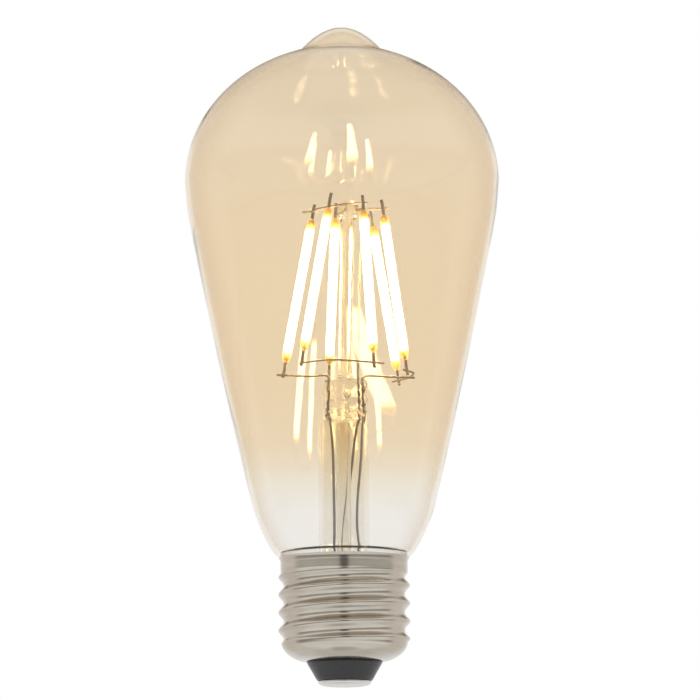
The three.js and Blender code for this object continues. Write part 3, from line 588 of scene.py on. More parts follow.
class Workshop:
    """Makes the finishes once and turns skins into pieces of the lamp."""

    def __init__(self) -> None:
        """Builds each slot's finish."""
        self.finishes = {slot: finish.build() for slot, finish in FINISHES.items()}
        self.glow = ChipGlow().build()

    def piece(self, name: str, skin: Surface, slot: Slot, replaces: Sequence[str] = (), crease: float = 40,
              finish: Optional[bpy.types.Material] = None) -> bpy.types.Object:
        """Adds one piece to the scene and ties it to the frame.

        Args:
            name: the piece's name.
            skin: its surface.
            slot: the record's slot that it takes its finish from.
            replaces: the CAD nodes that it stands for.
            crease: angle in degrees above which an edge stays sharp.
            finish: a finish other than the slot's own.

        Returns:
            The new object.
        """
        obj = bpy.data.objects.new(name, skin.mesh(name, crease))
        bpy.context.scene.collection.objects.link(obj)
        obj.data.materials.append(finish or self.finishes[slot])
        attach(obj, BODY)
        if replaces:
            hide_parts(*replaces)
        LOG.info("%s: %d faces, for %s", name, len(obj.data.polygons), ", ".join(replaces) or "no CAD node")
        return obj


# ---------- glass envelope ----------


@dataclass
class GlassEnvelope:
    """The blown tear-drop glass with its sealed-off tip; its ends and width come from the frame."""

    shop: Workshop
    wall: float = 0.9
    dome_rise: float = 28.0
    tip_rise: float = 4.5
    tip_radius: float = 9.0
    tip_blend: float = 0.6
    tip_reach: float = 1.4
    rim_radius: float = 12.75
    neck_radius: float = 11.0
    facets: int = 160
    stations: tuple[tuple[float, float], ...] = (
        (0.0095, 0.055), (0.027, 0.107), (0.0526, 0.162), (0.105, 0.253), (0.182, 0.338), (0.31, 0.458),
        (0.566, 0.684), (0.8255, 0.898), (0.916, 0.967), (1, 1))

    def outline(self) -> Points:
        """Returns the outside as [radius, height]: a curve through the body's stations, a quarter ellipse, a tip.

        The dome is r = R cos a, z = widest + rise sin a, and the tip a paraboloid that leaves it at the tip's radius.
        The two heights are joined by a soft maximum, (a + b + sqrt((a - b)^2 + w^2)) / 2.
        """
        low, high = node_box("glass_envelope")
        rim = node_box("cap_shell")[1][2]
        radius, length, bottom = high[0], high[2], low[2]
        widest = length - self.tip_rise - self.dome_rise
        neck = [(self.neck_radius, bottom), (self.neck_radius, bottom + 0.45 * (rim - bottom)),
                ((self.neck_radius + self.rim_radius) / 2, rim - 1.6), (self.rim_radius, rim)]
        body = [(self.rim_radius + (radius - self.rim_radius) * out, rim + (widest - rim) * up)
                for up, out in self.stations]
        lower = smooth_line(neck + body, 10)
        foot = self.tip_reach * self.tip_radius
        start = math.acos(foot / radius)
        angle = np.linspace(0, start, 49)[1:]
        dome = np.stack([radius * np.cos(angle), widest + self.dome_rise * np.sin(angle)], 1)
        base = widest + self.dome_rise * math.sqrt(1 - (self.tip_radius / radius) ** 2)
        out = foot * np.linspace(1, 0, 49)[1:]
        crown = widest + self.dome_rise * np.sqrt(1 - (out / radius) ** 2)
        tip = length - (length - base) * (out / self.tip_radius) ** 2
        top = (crown + tip + np.sqrt((crown - tip) ** 2 + self.tip_blend**2)) / 2
        return np.vstack([lower, dome, np.stack([out, np.minimum(top, length)], 1)])

    def build(self) -> None:
        """Makes the glass, with its inner wall a wall's thickness inside the outer one."""
        outside = self.outline()
        slope = np.gradient(outside, axis=0)
        slope /= np.linalg.norm(slope, axis=1, keepdims=True)
        inside = outside + self.wall * np.stack([-slope[:, 1], slope[:, 0]], 1)
        inside[:, 0] = np.maximum(inside[:, 0], 0)
        inside[-1] = (0, outside[-1, 1] - self.wall)
        keep = inside[:, 0] > 0.3
        keep[-1] = True
        skin = lathe(np.vstack([outside, inside[keep][::-1]]), loop=True, facets=self.facets)
        self.shop.piece("glass_envelope_blown", skin, Slot.AMBER_GLASS, ["glass_envelope"], crease=75)


# ---------- screw cap ----------


@dataclass
class ScrewCap:
    """The drawn nickel shell with its thread, the cement that holds the glass, the insulator and the contact."""

    shop: Workshop
    pitch: float = 3.629
    depth: float = 1.05
    skirt_height: float = 3.3
    skirt_step: float = 0.4
    top_crest_drop: float = 2.3
    taper: float = 3.6
    taper_power: float = 1.7
    flare: float = 0.35
    wall: float = 0.3
    mouth_radius: float = 7.7
    around: int = 240
    contact_radius: float = 5.35
    contact_height: float = 1.05
    face_radius: float = 3.0
    rivet_radius: float = 0.8
    insulator_foot: float = 5.6
    insulator_bore: float = 1.1
    play: float = 0.15
    cement_bore: float = 11.15
    cement_skirt: float = 12.35
    cement_thread: float = 11.7

    def __post_init__(self) -> None:
        """Takes the shell's ends and crests from the frame."""
        low, high = node_box("cap_shell")
        self.floor, self.rim = low[2], high[2]
        self.skirt = node_box("cap_shell")[1][0] - self.flare
        self.crest_radius = self.skirt + self.skirt_step
        self.thread_top = self.rim - self.skirt_height
        self.thread_bottom = self.floor + self.taper
        self.mean_radius = self.crest_radius - self.depth / 2

    def thread(self, angle: Points, height: Points) -> Points:
        """Returns the outside's radius: a cosine wave round a right-hand helix that runs out above and below."""
        crest = self.thread_top - self.top_crest_drop + self.pitch * angle / (2 * math.pi)
        turn = 2 * math.pi * (height - crest) / self.pitch
        wave = np.cos(turn) + 0.1 * np.cos(2 * turn)
        threaded = self.mean_radius + self.depth / 2 * wave
        out = ease(height, self.thread_top - 0.7, self.thread_top + 0.45)
        into = 1 - ease(height, self.thread_bottom - 0.2, self.thread_bottom + 1)
        plain = np.where(height > self.thread_top - self.top_crest_drop, self.skirt, self.mean_radius)
        return threaded + (plain - threaded) * np.maximum(out, into)

    def taper_place(self, turn: Points) -> tuple[Points, Points]:
        """Returns shares outwards and downwards on the taper: cos^(2/n) and sin^(2/n), a superellipse of power n."""
        return np.cos(turn) ** (2 / self.taper_power), np.sin(turn) ** (2 / self.taper_power)

    def shell(self) -> Surface:
        """Returns the shell: a superelliptic taper, the thread, the plain skirt and a flared lip, and its inside."""
        angle = np.linspace(0, 2 * math.pi, self.around, endpoint=False)
        reach = self.mean_radius - self.mouth_radius
        turn = np.linspace(math.pi / 2, 0, 22, endpoint=False)
        out, down = self.taper_place(turn)
        taper = np.stack([self.mouth_radius + reach * out, self.thread_bottom - self.taper * down], 1)
        power = self.taper_power - 1
        normal = np.stack([out**power / reach, -(down**power) / self.taper], 1)
        normal /= np.linalg.norm(normal, axis=1, keepdims=True)
        heights = np.linspace(self.thread_bottom, self.thread_top + 0.5, 76)
        lip = smooth_line([(self.skirt, self.thread_top + 0.75), (self.skirt + 0.02, self.thread_top + 2),
                           (self.skirt, self.rim - 1.1), (self.skirt + 0.06, self.rim - 0.6),
                           (self.skirt + 0.6 * self.flare, self.rim - 0.2), (self.skirt + self.flare, self.rim)], 5)
        height = np.outer(np.concatenate([taper[:, 1], heights, lip[:, 1]]), np.ones(self.around))
        threaded = slice(len(taper), len(taper) + len(heights))
        radius = np.outer(np.concatenate([taper[:, 0], heights, lip[:, 0]]), np.ones(self.around))
        radius[threaded] = self.thread(angle[None], height[threaded])
        facing = np.vstack([normal, np.tile([1.0, 0.0], (len(heights) + len(lip), 1))])
        keep = np.arange(0, len(radius), 2)
        keep[-1] = len(radius) - 1
        inner_radius = (radius - self.wall * facing[:, :1])[keep][::-1]
        inner_height = (height - self.wall * facing[:, 1:])[keep][::-1]
        rows = np.vstack([radius, inner_radius]), np.vstack([height, inner_height])
        return Surface.grid(np.stack([rows[0] * np.cos(angle), rows[0] * np.sin(angle), rows[1]], -1), loop=True)

    def insulator(self) -> Surface:
        """Returns the black glass insulator: a straight-sided cone below, and a bulge that fills the shell's taper."""
        low, _ = node_box("cap_insulator")
        reach = self.mean_radius - self.mouth_radius - self.wall - self.play
        drop = self.taper - self.wall - self.play
        out, down = self.taper_place(np.radians(np.linspace(78, 22, 14)))
        bulge = np.stack([self.mouth_radius + reach * out, self.thread_bottom - drop * down], 1)
        foot, bore, neck = self.insulator_foot, self.insulator_bore, self.mouth_radius - 0.12
        cone = smooth_line([(foot - 0.45, low[2]), (foot - 0.1, low[2] + 0.08), (foot + 0.12, low[2] + 0.35),
                            ((foot + neck) / 2, (low[2] + self.floor) / 2 - 0.05), (neck - 0.25, self.floor - 0.75),
                            (neck - 0.02, self.floor - 0.3), (neck - 0.06, self.floor + 0.1)], 6)
        return lathe(np.vstack([[(bore, low[2])], cone, bulge, [(bore, bulge[-1, 1])]]), loop=True)

    def contact(self) -> Surface:
        """Returns the contact: a shallow dished disc with a rolled edge and its hollow rivet."""
        top, rivet = self.contact_height, self.rivet_radius
        turn = np.linspace(0, math.pi / 2, 16)
        edge = np.stack([self.face_radius + (self.contact_radius - self.face_radius) * np.sin(turn),
                         0.8 * top * (1 - np.cos(turn))], 1)
        back = [(self.contact_radius, top - 0.05), (self.contact_radius - 0.1, top), (rivet, top),
                (rivet, top + 2.2), (rivet - 0.1, top + 2.4), (0, top + 2.4)]
        return lathe(np.vstack([[(0, 0), (0.7 * self.face_radius, 0)], edge, back]))

    def cement(self) -> Surface:
        """Returns the cement ring between shell and glass, its upper face slightly hollow."""
        low, high = node_box("basing_cement")
        bore, wide, narrow = self.cement_bore, self.cement_skirt, self.cement_thread
        top = high[2] + 0.05
        return lathe([(bore, low[2]), (narrow - 0.2, low[2]), (narrow, low[2] + 0.2), (narrow, self.thread_top + 0.5),
                      (wide, self.thread_top + 0.8), (wide, top), (wide - 0.1, top + 0.05), (12.1, top),
                      (12.02, top - 0.1), (bore, self.thread_top - 0.4)], loop=True)

    def build(self) -> None:
        """Makes the cap's four pieces."""
        self.shop.piece("cap_shell_drawn", self.shell(), Slot.NICKEL, ["cap_shell"])
        self.shop.piece("cap_insulator_cast", self.insulator(), Slot.INSULATION, ["cap_insulator"])
        self.shop.piece("centre_contact_pressed", self.contact(), Slot.TIN, ["centre_contact"])
        self.shop.piece("basing_cement_ring", self.cement(), Slot.CEMENT, ["basing_cement"])


# ---------- glass stem ----------


class Side(str, Enum):
    """The three leads."""

    LEFT = "left"
    MIDDLE = "middle"
    RIGHT = "right"


def polar(bearing: float, radius: float, height: float) -> Points:
    """Returns a point by its bearing from +X towards the front, its radius and its height."""
    angle = -math.radians(bearing)
    return np.array([radius * math.cos(angle), radius * math.sin(angle), height])


@dataclass
class Stem:
    """The flared glass tube with its flat press, the exhaust tube, and the leads that run through them."""

    shop: Workshop
    radius: float = 5.1
    wall: float = 0.9
    shoulder: float = 52.5
    shoulder_rise: float = 3.5
    press_width: float = 8.9
    press_thickness: float = 4.2
    press_offset: float = 0.45
    exhaust: tuple[float, float] = (1.5, 0.9)
    vent: tuple[float, float] = (0.8, 59.6)
    lead_room: float = 3.545
    lead_diameter: float = 0.5
    seal_diameter: float = 0.4
    seal_overlap: float = 1.3
    shares: dict[Side, tuple[float, float]] = field(default_factory=lambda: {
        Side.LEFT: (-0.9, 0), Side.MIDDLE: (0.73, 0.7), Side.RIGHT: (0.945, -0.1)})

    def __post_init__(self) -> None:
        """Takes the stem's ends from the frame."""
        low, high = node_box("glass_stem")
        self.flange, self.top = low[2] + 0.4, high[2]
        self.press_bottom = self.shoulder + self.shoulder_rise
        self.rim = node_box("cap_shell")[1][2]

    def lead_place(self, side: Side) -> Points:
        """Returns where a lead goes through the press, as x and y from the press's middle."""
        share, y = self.shares[side]
        return np.array([share * self.lead_room, y])

    def rings(self, stations: Points, facets: int = 96) -> Points:
        """Returns rings [height, centre x, half-width, half-depth, power], each a superellipse."""
        angle = np.linspace(0, 2 * math.pi, facets, endpoint=False)
        cos, sin = np.cos(angle), np.sin(angle)
        height, centre, a, b, power = (stations[:, k : k + 1] for k in range(5))
        x = centre + a * np.sign(cos) * np.abs(cos) ** (2 / power)
        y = b * np.sign(sin) * np.abs(sin) ** (2 / power)
        return np.stack([x, y, np.broadcast_to(height, x.shape)], -1)

    def tube(self) -> Surface:
        """Returns the tube: a flare, a straight part, the shoulder, and the press with its uneven, pinched sides."""
        wide, deep = self.press_width / 2, self.press_thickness / 2
        x = self.press_offset
        flare = [(self.flange, 9.9), (self.flange + 0.9, 9.8), (self.flange + 2.2, 7.5), (self.flange + 4.6, 5.8),
                 (self.flange + 8.5, 5.12), (self.flange + 12, self.radius), (self.shoulder - 6, self.radius),
                 (self.shoulder - 1, self.radius + 0.05)]
        outer = [(z, 0, r, r, 2) for z, r in flare] + [
            (self.shoulder + 0.7, 0.1, 4.95, 4.6, 2.1), (self.shoulder + 2, 0.3, 4.5, 3.4, 2.4),
            (self.press_bottom - 0.1, x, wide - 0.15, deep + 0.25, 2.8),
            (self.press_bottom + 0.4, x, wide - 0.3, deep, 3),
            (self.press_bottom + 1.2, x, wide - 0.05, deep + 0.1, 3.4),
            (self.press_bottom + 3, x, wide, deep - 0.1, 3.6), (self.top - 1, x, wide - 0.05, deep, 3.6),
            (self.top - 0.25, x, wide - 0.35, deep - 0.25, 3.2), (self.top, x, wide - 1, deep - 0.8, 3)]
        skin = self.rings(smooth_line(outer, 8))
        press = ease(skin[..., 2], self.shoulder, self.press_bottom + 1)
        uneven = (ripple(skin, 3.2, 4) * 0.22 + ripple(skin, 1.4, 9) * 0.2)[..., None] * press[..., None]
        skin[..., :2] += uneven * skin[..., :2] / np.maximum(np.linalg.norm(skin[..., :2], axis=-1, keepdims=True), 1)
        bore = [(z - 0.4, 0, max(r - self.wall, 4.2), max(r - self.wall, 4.2), 2) for z, r in flare[::-1]]
        hollow = [(self.press_bottom + 0.35, x, 0.4, 0.15, 2), (self.press_bottom + 0.2, x, 1.9, 0.35, 2),
                  (self.press_bottom - 0.3, x, 3.2, 0.7, 2.2), (self.shoulder + 1.6, 0.25, 3.9, 2.2, 2.1),
                  (self.shoulder + 0.4, 0.1, 4.1, 3.6, 2)]
        inside = self.rings(smooth_line(hollow + bore, 8))
        folded = ease(inside[..., 2], self.shoulder, self.press_bottom)
        inside[..., 2] += 0.35 * folded * ripple(inside * [1, 1, 0.2], 2.2, 21)
        inside[..., 1] += 0.1 * folded * ripple(inside, 1.6, 22)
        below, above = (np.tile([x, 0.0, z], (1, skin.shape[1], 1)) for z in (self.press_bottom + 0.38, self.top))
        return Surface.grid(np.concatenate([below, inside, skin, above]))

    def vent_hole(self) -> Surface:
        """Returns the empty space that joins the exhaust bore to the bulb: a thin channel that swells to a pocket."""
        x, height = self.vent
        profile = smooth_line([(0, self.shoulder + 2.4), (0.55, self.shoulder + 2.7), (0.5, self.press_bottom),
                               (0.3, height - 2), (0.42, height - 1.2), (0.78, height - 0.5), (0.8, height + 0.1),
                               (0.5, height + 0.7), (0, height + 0.85)], 6)
        profile[:, 0] = np.maximum(profile[:, 0], 0)
        return lathe(profile, facets=32).moved(place_at(x, -0.5, 0)).hollow()

    def exhaust_tube(self) -> Surface:
        """Returns the exhaust tube, drawn to a point and sealed at its lower end."""
        low, _ = node_box("exhaust_tube")
        outside, bore = self.exhaust
        top = self.shoulder + 1.2
        tip = rounded_end(outside, 2.4, 2, 12) + [0, low[2]]
        inner = rounded_end(bore, 1.6, 2, 10)[::-1] + [0, low[2] + 1.8]
        return lathe(np.vstack([tip, [(outside, 30), (outside, top - 1), (outside - 0.2, top), (bore + 0.1, top),
                                      (bore, top - 1), (bore, 30)], inner]), facets=48)

    def route(self, side: Side) -> Points:
        """Returns a lead's way down the tube: through the room beside the exhaust tube, then to the board.

        Each step is a bearing, a share of the room between the exhaust tube and the wall, and a height.
        """
        inner = self.exhaust[0] + self.lead_diameter / 2 + 0.15
        outer = self.radius - self.wall - self.lead_diameter / 2 - 0.15
        x, y = self.lead_place(side) + [self.press_offset, 0]
        down = (x - inner) / (outer - inner)
        neck, rim = self.flange, self.rim
        steps = {
            Side.LEFT: [(149, 0.34, self.shoulder - 3), (149, 0.22, 42), (148, 0.18, rim + 3), (193, 0.4, neck + 1.5)],
            Side.MIDDLE: [(340, 0.35, self.shoulder - 2), (320, 0.3, 46), (298, 0.3, 40), (252, 0.21, rim + 4),
                          (249, 0.18, neck + 1.5)],
            Side.RIGHT: [(6, down, self.shoulder - 1.6), (13, 0.88, 46), (24, 0.55, 37), (28, 0.55, 32),
                         (15, 0.68, rim + 1), (349, 0.7, neck + 1.5)],
        }[side]
        foot = {Side.LEFT: -3.8, Side.MIDDLE: -0.9, Side.RIGHT: 3.8}[side]
        ends = [(foot, 2.3, neck - 1.1), (foot, 2.8, neck - 3.1)]
        way = [polar(bearing, inner + (outer - inner) * share, z) for bearing, share, z in steps]
        return smooth_line(np.vstack([[(x, y, self.press_bottom - self.seal_overlap)], way, ends]), 14)

    def build(self) -> None:
        """Makes the glass, the leads and the short seal wires in the press."""
        glass = Surface.joined([self.tube(), self.vent_hole()])
        self.shop.piece("glass_stem_pressed", glass, Slot.CLEAR_GLASS, ["glass_stem"], crease=60)
        self.shop.piece("exhaust_tube_sealed", self.exhaust_tube(), Slot.CLEAR_GLASS, ["exhaust_tube"], crease=60)
        for side in Side:
            x, y = self.lead_place(side) + [self.press_offset, 0]
            lead = sweep(self.route(side), circle(self.lead_diameter))
            self.shop.piece(f"outer_lead_{side.value}_drawn", lead, Slot.COPPER, [f"outer_lead_{side.value}"])
            seal = np.linspace([x, y, self.press_bottom - 1.2], [x, y, self.top - 2.2], 14)
            skin = sweep(seal, circle(self.seal_diameter))
            self.shop.piece(f"seal_wire_{side.value}_sheathed", skin, Slot.COPPER, [f"seal_wire_{side.value}"])


def place_at(x: float, y: float, z: float) -> Points:
    """Returns the 4 by 4 matrix of a plain shift."""
    matrix = np.eye(4)
    matrix[:3, 3] = x, y, z
    return matrix


# ---------- filament cage ----------


@dataclass(frozen=True)
class Filament:
    """One strip: the bearing of its lower end in degrees, how far its upper end is turned on from that, how far it
    sits off the common height, how its tabs are turned, and how far down its lower tab the wire is welded."""

    bearing: float
    twist: float
    lift: float
    turn: float
    weld: float


@dataclass
class Cage:
    """Six filaments on their wires, and the glass pillar that carries them. Heights count from the press."""

    shop: Workshop
    stem: Stem
    lean: float = 1.2
    strip_length: float = 30.6
    strip_diameter: float = 1.8
    strip_end: float = 1.7
    chip_radius: float = 0.5
    chip_margin: float = 1.9
    tab: tuple[float, float, float] = (3.0, 0.65, 0.3)
    bottom_radius: float = 12.3
    top_radius: float = 7.5
    lead: float = 0.46
    link: float = 0.4
    return_diameter: float = 0.3
    lead_lift: float = 0.7
    pillar_diameter: float = 2.8
    bead_diameter: float = 4.6
    bead_height: float = 3.6
    bead_crown: float = 2.0
    gap: float = 0.05
    filaments: tuple[Filament, ...] = (
        Filament(184, 8, -0.5, 90, 0.87), Filament(133, -12, 0.4, 60, 0.77), Filament(254, -4, 0.9, 0, 0.83),
        Filament(63, 2, -0.1, 0, 0.63), Filament(330, -16, -0.9, 0, 0.7), Filament(8, 4, 0, 90, 0.67))

    def __post_init__(self) -> None:
        """Works out the cage's common heights."""
        first = self.filaments[0]
        self.cage_lift = self.lead_lift - first.lift + first.weld * self.tab[0]
        rise = math.sqrt(self.strip_length**2 - (self.bottom_radius - self.top_radius) ** 2)
        self.link_lift = self.cage_lift + rise + 1
        angle = math.radians(self.lean)
        self.place = np.array([[math.cos(angle), 0, math.sin(angle), self.stem.press_offset], [0, 1, 0, 0],
                               [-math.sin(angle), 0, math.cos(angle), self.stem.top], [0, 0, 0, 1]])

    def ends(self, filament: Filament) -> tuple[Points, Points]:
        """Returns a strip's lower and upper ends."""
        lower = polar(filament.bearing, self.bottom_radius, self.cage_lift + filament.lift)
        upper = polar(filament.bearing + filament.twist, self.top_radius, 0)
        upper[2] = lower[2] + math.sqrt(self.strip_length**2 - np.sum((upper - lower)[:2] ** 2))
        return lower, upper

    def weld_point(self, filament: Filament, height: float, diameter: Optional[float] = None,
                   facing: tuple[int, int] = (-1, 0), shift: Sequence[float] = (0, 0, 0)) -> Points:
        """Returns where a wire lies against a tab.

        Args:
            filament: whose tab.
            height: above the press.
            diameter: the wire's.
            facing: the tab's side, as parts of outwards and of growing bearings.
            shift: distances outwards, along growing bearings and up from there.

        Returns:
            A point on the wire's centre line.
        """
        lower, upper = self.ends(filament)
        centre = lower + (upper - lower) * (height - lower[2]) / (upper[2] - lower[2])
        outward = np.array([centre[0], centre[1], 0]) / math.hypot(centre[0], centre[1])
        onward = np.array([outward[1], -outward[0], 0])
        turn = math.radians(filament.turn)
        _, width, thickness = self.tab
        across = (math.sin(turn), math.cos(turn)) if facing[0] else (math.cos(turn), math.sin(turn))
        stand = (width * across[0] + thickness * across[1] + (diameter or self.link)) / 2 + 0.04
        return (centre + outward * (facing[0] * stand + shift[0]) + onward * (facing[1] * stand + shift[1])
                + np.array([0, 0, shift[2]]))

    def lower(self, filament: Filament, **options: object) -> Points:
        """Returns where a wire is welded to a lower tab."""
        return self.weld_point(filament, self.weld_height(filament), **options)

    def upper(self, filament: Filament, rise: float, **options: object) -> Points:
        """Returns where a wire is welded to an upper tab."""
        return self.weld_point(filament, self.link_lift + rise, **options)

    def weld_height(self, filament: Filament) -> float:
        """Returns the height of the weld on a lower tab."""
        return self.cage_lift + filament.lift - filament.weld * self.tab[0]

    def wires(self) -> dict[str, tuple[list, float]]:
        """Returns each wire's points and diameter: the leads below, the links that join the strips, the return."""
        left, front_left, back, front_right, back_right, right = self.filaments
        (lx, ly), (mx, my), (rx, ry) = (self.stem.lead_place(side) for side in Side)
        lift, top, bead = self.lead_lift, self.link_lift, self.bead_diameter / 2
        away = (self.lead + self.link) / 2 + self.gap
        thick = {"diameter": self.lead, "facing": (0, -1)}
        behind = {"facing": (0, -1)}
        front = self.lower(front_right)
        low_front = math.hypot(front[0], front[1])
        crown = self.upper(front_right, 0.4)
        high_front = math.hypot(crown[0], crown[1])
        meet = np.array([mx, -math.sqrt(low_front**2 - mx**2), self.weld_height(front_right) - self.link - 0.1])
        reach = self.bottom_radius + 1.8
        low = self.weld_height(front_left)
        return {
            "inner_lead_left": ([(lx, ly, -2), (lx, ly, 0.1), (lx - 0.6, 0.1, lift), (lx - 4, 0.5, lift - 0.1),
                                 self.lower(left, **thick, shift=(-0.6, 0, 0)),
                                 self.lower(left, **thick, shift=(1.2, 0, 0))], self.lead),
            "inner_lead_middle": ([(mx, my, -2), (mx, my, 0), (mx, my - 0.5, lift), (mx, -5, lift + 0.2), meet],
                                  self.link),
            "inner_lead_right": ([(rx, ry, -2), (rx, ry, 0), (rx + 0.9, 0.1, lift), (rx + 4.5, 0.5, lift + 0.05),
                                  (reach, 1.4, lift)], self.lead),
            "lower_link_back": ([(lx - 0.3, away + 0.15, lift), (lx - 0.5, 5, lift + 0.5), self.lower(back)],
                                self.link),
            "lower_link_front": ([self.lower(front_left, shift=(0, 1.1, 0)), self.lower(front_left),
                                  polar(108, low_front + 0.1, low + 0.15), polar(86, low_front + 0.1, low + 0.05),
                                  self.lower(front_right), self.lower(front_right, shift=(0, -2.4, 0))], self.link),
            "lower_link_right": ([self.lower(right, shift=(0, 0.9, 0)), self.lower(right),
                                  (reach - 0.2, 0.3, lift + away + 0.35), (reach - 1.4, 4.2, lift + away - 0.15),
                                  self.lower(back_right), self.lower(back_right, shift=(0, -1.9, 0))], self.link),
            "return_wire": ([(mx, meet[1] + away, meet[2] + 1.1), (mx, -0.6 * self.bottom_radius, 0.23 * top),
                             (mx, -0.32 * self.bottom_radius, 0.63 * top), (bead + 0.8, -0.6, top - 0.5)],
                            self.return_diameter),
            "upper_link_front": ([self.upper(left, 0, **behind) + [-2.1, 0.9, 0], self.upper(left, 0, **behind),
                                  polar(158, high_front, top - 0.3), self.upper(front_left, -0.4),
                                  polar(92, high_front, top), self.upper(front_right, 0.4),
                                  self.upper(front_right, 0.4, shift=(0, -1.1, 0.1))], self.link),
            "upper_link_right": ([self.upper(right, 0.3, **behind, shift=(1.1, 0, 0)),
                                  self.upper(right, 0.3, **behind), polar(8, bead + 0.6, top + 0.3),
                                  polar(352, bead - 1.2, top + 0.2), polar(330, bead + 0.6, top + 0.2),
                                  self.upper(back_right, 0.2, **behind)], self.link),
            "upper_cross_wire": ([self.upper(back, 0.4), polar(back.bearing, bead, top + 0.2),
                                  polar(96, bead, top + 0.2), polar(92, high_front - self.link - self.gap, top)],
                                 self.link),
        }

    def add_wires(self) -> None:
        """Makes the wires, slightly uneven as bent wire is."""
        for number, (name, (points, diameter)) in enumerate(self.wires().items()):
            line = smooth_line(np.array([np.asarray(p, float) for p in points]), 16)
            line += 0.03 * np.stack([ripple(line, 2.5, 10 * number + k) for k in range(3)], 1)
            skin = sweep(line, circle(diameter), end_length=0.12).moved(self.place)
            self.shop.piece(f"{name}_bent", skin, Slot.LEAD_WIRE, [name])

    def pillar(self) -> Surface:
        """Returns the glass pillar: a foot fused to the press, a straight rod, and the bead that holds the links."""
        rod, bead = self.pillar_diameter / 2, self.bead_diameter / 2
        top = self.link_lift + self.bead_crown
        low = top - self.bead_height
        body = smooth_line([(rod + 0.75, 0.1), (rod + 0.3, 0.35), (rod + 0.06, 1.2), (rod, 3), (rod, low - 5),
                            (rod + 0.05, low - 1.2), (0.82 * bead, low + 0.5), (bead, low + 0.45 * self.bead_height),
                            (0.86 * bead, low + 0.8 * self.bead_height), (0.45 * bead, top - 0.12), (0, top)], 8)
        skin = lathe(np.vstack([[(0, 0.1)], body]), facets=56)
        skin.places[:, :2] += 0.05 * np.stack([ripple(skin.places, 4, 31), ripple(skin.places, 4, 32)], 1)
        return skin

    def add_filament(self, number: int, filament: Filament) -> None:
        """Makes a strip, the lit chips in it, and its two tabs, in the strip's own place in the cage."""
        lower, upper = self.ends(filament)
        along = (upper - lower) / self.strip_length
        face = np.array([lower[0], lower[1], 0]) / math.hypot(lower[0], lower[1])
        face -= (face @ along) * along
        face /= np.linalg.norm(face)
        matrix = np.eye(4)
        matrix[:3, :3] = np.stack([face, np.cross(along, face), along], 1)
        matrix[:3, 3] = lower
        matrix = self.place @ matrix
        radius, length = self.strip_diameter / 2, self.strip_length
        end = rounded_end(radius, self.strip_end, 2.1, 14)
        other = end[::-1] * [1, -1] + [0, length]
        heights = np.linspace(self.strip_end, length - self.strip_end, 42)[1:-1]
        middle = np.stack([np.full_like(heights, radius), heights], 1)
        coat = lathe(np.vstack([end, middle, other]), facets=28, uv=True)
        coat.places[:, :2] *= (1 + 0.035 * ripple(coat.places + 20 * number, 3.5, number))[:, None]
        name = f"filament_{number}"
        self.shop.piece(f"{name}_silicone", coat.moved(matrix), Slot.PHOSPHOR, [f"{name}_strip"])
        chip_end = rounded_end(self.chip_radius, self.chip_radius, 2, 6) + [0, self.chip_margin]
        lit = lathe(np.vstack([chip_end, [(self.chip_radius + 0.02, length / 2)],
                               chip_end[::-1] * [1, -1] + [0, length]]), facets=20, uv=True)
        lit.places[:, 1] *= 1.15
        self.shop.piece(f"{name}_chips", lit.moved(matrix), Slot.PHOSPHOR, finish=self.shop.glow)
        turn = math.radians(filament.turn)
        for side, start, step in (("lower", -self.gap, -1), ("upper", length + self.gap, 1)):
            reach = self.tab[0] * np.array([-0.35, 0.0, 0.3, 0.6, 0.85, 1.0])
            sway = 0.05 * np.array([0, 0, 0.5, 1, 0.4, -0.6])
            line = np.stack([sway * step, 0 * sway, start + step * reach], 1)
            skin = sweep(smooth_line(line, 5), rounded(self.tab[2], self.tab[1], 4),
                         side=(math.cos(turn), math.sin(turn), 0), end_length=0.08)
            self.shop.piece(f"{name}_{side}_tab_cut", skin.moved(matrix), Slot.TAB_STEEL, [f"{name}_{side}_tab"])

    def build(self) -> None:
        """Makes the wires, the pillar and the six filaments."""
        self.add_wires()
        self.shop.piece("glass_pillar_beaded", self.pillar().moved(self.place), Slot.CLEAR_GLASS, ["glass_pillar"], 60)
        for number, filament in enumerate(self.filaments, 1):
            self.add_filament(number, filament)


# ---------- driver in the cap ----------


